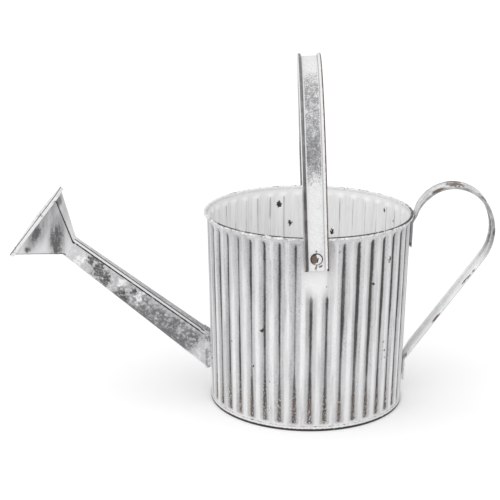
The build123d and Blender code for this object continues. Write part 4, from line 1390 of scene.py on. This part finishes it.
# Rust with painted shade on the left of the bail's rivet heads, and a painted dark reflection across their
# domes
RIVET_RUST_AND_SHADE = (((2.0, 0, 151.2), (5.6, 200, 7.2), 0),)
RIVET_DARK_REFLECTION = (((5.6, 0, 150.6), (1.5, 200, 5.2), 8), ((3.4, 0, 154.6), (3.6, 200, 1.4), -25))


def paint_rivet(colours):
    """Painted steel rivet: white where the paint holds, brown where it has rusted, dark round its edge. On
    the bail's rivets the brown left is partly painted shade, a dark band is a painted reflection and the
    white right a painted highlight.
    """
    material, tree, place = start_finish("Rusty painted steel with painted light, rivets")
    rusty = cloud(tree, place, 3 * MM, low=0.2, high=0.6, detail=4.0)
    # Rust, with painted shade over the left of the bail's rivet heads
    bare = smudges(tree, place, RIVET_RUST_AND_SHADE)
    bare = add(tree, "MapRange", (bare, 0.08, 0.3, 0.0, 0.9), **SMOOTH)[0]
    rusty = add(tree, "Math", (rusty, 0.3, bare), operation="MULTIPLY_ADD", use_clamp=True)[0]
    rusty = speckle(tree, place, rusty, 1.1 * MM, edge=0.6)
    spot = {"Vector": place, "Location": PIVOT}
    local = add(tree, "Mapping", spot, vector_type="TEXTURE")[0]
    flat = add(tree, "VectorMath", (local, (1, 0, 1)), operation="MULTIPLY")[0]
    away = add(tree, "VectorMath", (flat,), operation="LENGTH")["Value"]
    ring = band(tree, away, 4.4 * MM, 5.2 * MM, 0.4 * MM, most=0.9)
    # A painted dark reflection across the bail's domes, and a dark line round each head's edge, partly
    # painted shadow where it meets the strap
    dark = add(tree, "MapRange", (smudges(tree, place, RIVET_DARK_REFLECTION), 0.1, 0.5, 0.0, 0.95), **SMOOTH)[0]
    dark = add(tree, "Math", (dark, ring), operation="MAXIMUM")[0]
    dark = speckle(tree, place, dark, 1.1 * MM, edge=0.5)
    # The wash left on the right of the bail's domes stands as a painted highlight
    coats = [(rusty, colours.rust), (dark, colours.chip)]
    finish(tree, place, whitewash(tree, place, colours), coats)
    return material


def paint_steel(colours):
    """Dull bare steel: grey, with a bloom of rust."""
    material, tree, place = start_finish("Dull bare steel")
    bloom = cloud(tree, place, 3 * MM, detail=4.0)
    finish(tree, place, colours.steel, [(bloom, colours.rust)], matt=0.5, bare=0.7)
    return material


class CanOperator(Operator):
    """Shared by the operators that make the can's pieces."""

    bl_options = {"REGISTER", "UNDO"}


class WATERCAN_OT_body(CanOperator):
    """Model and paint the wall, the foot, the spout and its collar"""

    bl_idname = "watercan.body"
    bl_label = "Can Body and Spout"

    def execute(self, context):
        sizes, colours = context.scene.can_sizes, context.scene.can_colours
        wall, core = model_wall(sizes, [paint_wall(colours), paint_inside(colours)])
        hand_over(wall, "can", ["body_shell"], smooth=30)
        hand_over(model_base(sizes), "can", ["base_pan"], [paint_base(colours)])
        spout = model_spout(sizes, core)
        hand_over(spout, "can", ["spout_tube"], [paint_spout(colours)])
        collar = model_collar(core)
        hand_over(collar, "can", ["spout_collar"], [paint_collar(colours)])
        bpy.data.objects.remove(core)
        return {"FINISHED"}


class WATERCAN_OT_rose(CanOperator):
    """Model the rose's funnel and paint it and its pierced face"""

    bl_idname = "watercan.rose"
    bl_label = "Rose"

    def execute(self, context):
        sizes, colours = context.scene.can_sizes, context.scene.can_colours
        hand_over(model_rose(sizes), "can", ["rose_funnel"], [paint_rose(colours)])
        repaint(frame["nodes"]["rose_face"], paint_rose_face(colours))
        return {"FINISHED"}


class WATERCAN_OT_bail(CanOperator):
    """Model and paint the swinging bail"""

    bl_idname = "watercan.bail"
    bl_label = "Bail"

    def execute(self, context):
        sizes, colours = context.scene.can_sizes, context.scene.can_colours
        hand_over(model_bail(sizes), "bail", ["bail_strap"], [paint_bail(colours)])
        return {"FINISHED"}


class WATERCAN_OT_handle(CanOperator):
    """Model and paint the loop handle"""

    bl_idname = "watercan.handle"
    bl_label = "Loop Handle"

    def execute(self, context):
        sizes, colours = context.scene.can_sizes, context.scene.can_colours
        handle = model_handle(sizes)
        hand_over(handle, "can", ["handle_strap"], [paint_handle(colours)])
        return {"FINISHED"}


class WATERCAN_OT_rivets(CanOperator):
    """Model and paint the rivets, and paint the washers and the rim's wire"""

    bl_idname = "watercan.rivets"
    bl_label = "Rivets and Washers"

    def execute(self, context):
        sizes, colours = context.scene.can_sizes, context.scene.can_colours
        rivet_paint = paint_rivet(colours)
        self.set_bail_rivets(sizes, rivet_paint)
        self.set_handle_rivets(sizes, rivet_paint)
        steel = paint_steel(colours)
        bare_pieces = ("bail_spacer", "bail_burr", "handle_burr", "rim_wire")
        for name, node in frame["nodes"].items():
            if name.startswith(bare_pieces):
                repaint(node, steel)
        return {"FINISHED"}

    def set_bail_rivets(self, sizes, material):
        """The two rivets that the bail turns on."""
        head_seat = BAIL_SPAN / 2 + sizes.strap_sheet + PIVOT_HEAD_PLAY
        head = (sizes.pivot_head, PIVOT_HEAD_HEIGHT, head_seat)
        front = model_rivet("bail_rivet_a", PIVOT_RADIUS, *head, PIVOT_TAIL_SEAT)
        rear = copy_piece(front, "bail_rivet_b")
        level = Vector((PIVOT.x, 0, PIVOT.z))
        for rivet, side, node in ((front, -1, "bail_rivet_front"), (rear, 1, "bail_rivet_rear")):
            place_piece(rivet, turn_place(level, Vector((1, 0, 0)), Vector((0, side, 0))))
            hand_over(rivet, "can", [node], [material])

    def set_handle_rivets(self, sizes, material):
        """The two rivets of the loop handle, square to the leaning wall."""
        outward = Vector((cos(WALL_LEAN), 0, -sin(WALL_LEAN)))
        tabs = (
            ("upper", UPPER_RIVET_Z, upper_tab_x(UPPER_RIVET_Z), sizes.strap_sheet, UPPER_BURR_DROP),
            ("lower", LOWER_RIVET_Z, lower_tab_x(LOWER_RIVET_Z), 0.0, LOWER_BURR_DROP),
        )
        for name, z, x, strap, burr_drop in tabs:
            tail_seat = -burr_drop - BURR_SHEET - SEAT_GAP
            head = (sizes.rivet_head, RIVET_HEAD_HEIGHT, strap + SEAT_GAP)
            rivet = model_rivet("handle_rivet_" + name[0], RIVET_SHANK, *head, tail_seat)
            place_piece(rivet, turn_place(upright(x, z), Vector((0, 1, 0)), outward))
            hand_over(rivet, "can", ["handle_rivet_" + name], [material])


class WATERCAN_OT_stage(CanOperator):
    """Set the floor, the lights and the camera"""

    bl_idname = "watercan.stage"
    bl_label = "Stage"

    def execute(self, context):
        stage = context.scene.can_stage
        context.scene.view_settings.view_transform = "Standard"
        self.lay_floor(stage)
        self.light_world(context.scene, stage)
        self.add_key(context.scene, stage)
        self.set_camera(context.scene)
        return {"FINISHED"}

    def lay_floor(self, stage):
        """A plain pale floor."""
        bpy.ops.object.select_all(action="DESELECT")
        bpy.ops.mesh.primitive_plane_add(size=FLOOR_SIZE)
        floor = bpy.context.active_object
        floor.name = "floor"
        material, tree, _ = start_finish("Plain floor")
        surface = add(tree, "BsdfPrincipled", {"Base Color": stage.floor, "Roughness": 0.9})[0]
        add(tree, "OutputMaterial", {"Surface": surface})
        floor.data.materials.append(material)

    def light_world(self, scene, stage):
        """A white surround."""
        world = bpy.data.worlds.new("white surround")
        world.use_nodes = True
        tree = world.node_tree
        tree.nodes.clear()
        glow = add(tree, "Background", {"Color": (1, 1, 1, 1), "Strength": stage.surround})[0]
        add(tree, "OutputWorld", {"Surface": glow})
        scene.world = world

    def add_key(self, scene, stage):
        """A wide soft light from above the camera, a little to its left."""
        lamp = bpy.data.lights.new("wide_key", "SUN")
        lamp.energy = stage.key
        lamp.angle = KEY_SPREAD
        key = bpy.data.objects.new("wide_key", lamp)
        scene.collection.objects.link(key)
        key.rotation_euler = KEY_DIRECTION.to_track_quat("-Z", "Y").to_euler()

    def set_camera(self, scene):
        """The camera at the photograph's place."""
        lens = bpy.data.cameras.new("photo_camera")
        lens.lens = CAMERA_LENS
        lens.sensor_width = CAMERA_SENSOR
        camera = bpy.data.objects.new("photo_camera", lens)
        scene.collection.objects.link(camera)
        camera.matrix_world = turn_place(CAMERA_PLACE, CAMERA_RIGHT, CAMERA_RIGHT.cross(CAMERA_UP))
        scene.camera = camera


class WATERCAN_PT_panel(Panel):
    """Sizes, colours and operators of the can"""

    bl_idname = "WATERCAN_PT_panel"
    bl_label = "Watering Can"
    bl_space_type = "VIEW_3D"
    bl_region_type = "UI"
    bl_category = "Watering Can"

    def draw(self, context):
        for group in (context.scene.can_sizes, context.scene.can_colours, context.scene.can_stage):
            column = self.layout.column()
            for name in group.__annotations__:
                column.prop(group, name)
        for operator in OPERATORS:
            self.layout.operator(operator.bl_idname)


OPERATORS = (
    WATERCAN_OT_body,
    WATERCAN_OT_rose,
    WATERCAN_OT_bail,
    WATERCAN_OT_handle,
    WATERCAN_OT_rivets,
    WATERCAN_OT_stage,
)
GROUPS = {"can_sizes": CanSizes, "can_colours": CanColours, "can_stage": CanStage}


def register():
    for group in GROUPS.values():
        bpy.utils.register_class(group)
    for name, group in GROUPS.items():
        setattr(bpy.types.Scene, name, PointerProperty(type=group))
    for operator in OPERATORS:
        bpy.utils.register_class(operator)
    bpy.utils.register_class(WATERCAN_PT_panel)


def unregister():
    bpy.utils.unregister_class(WATERCAN_PT_panel)
    for operator in reversed(OPERATORS):
        bpy.utils.unregister_class(operator)
    for name in GROUPS:
        delattr(bpy.types.Scene, name)
    for group in GROUPS.values():
        bpy.utils.unregister_class(group)


def main():
    """Make every piece in order."""
    register()
    bpy.ops.watercan.body()
    bpy.ops.watercan.rose()
    bpy.ops.watercan.bail()
    bpy.ops.watercan.handle()
    bpy.ops.watercan.rivets()
    bpy.ops.watercan.stage()


if __name__ == "__main__":
    main()
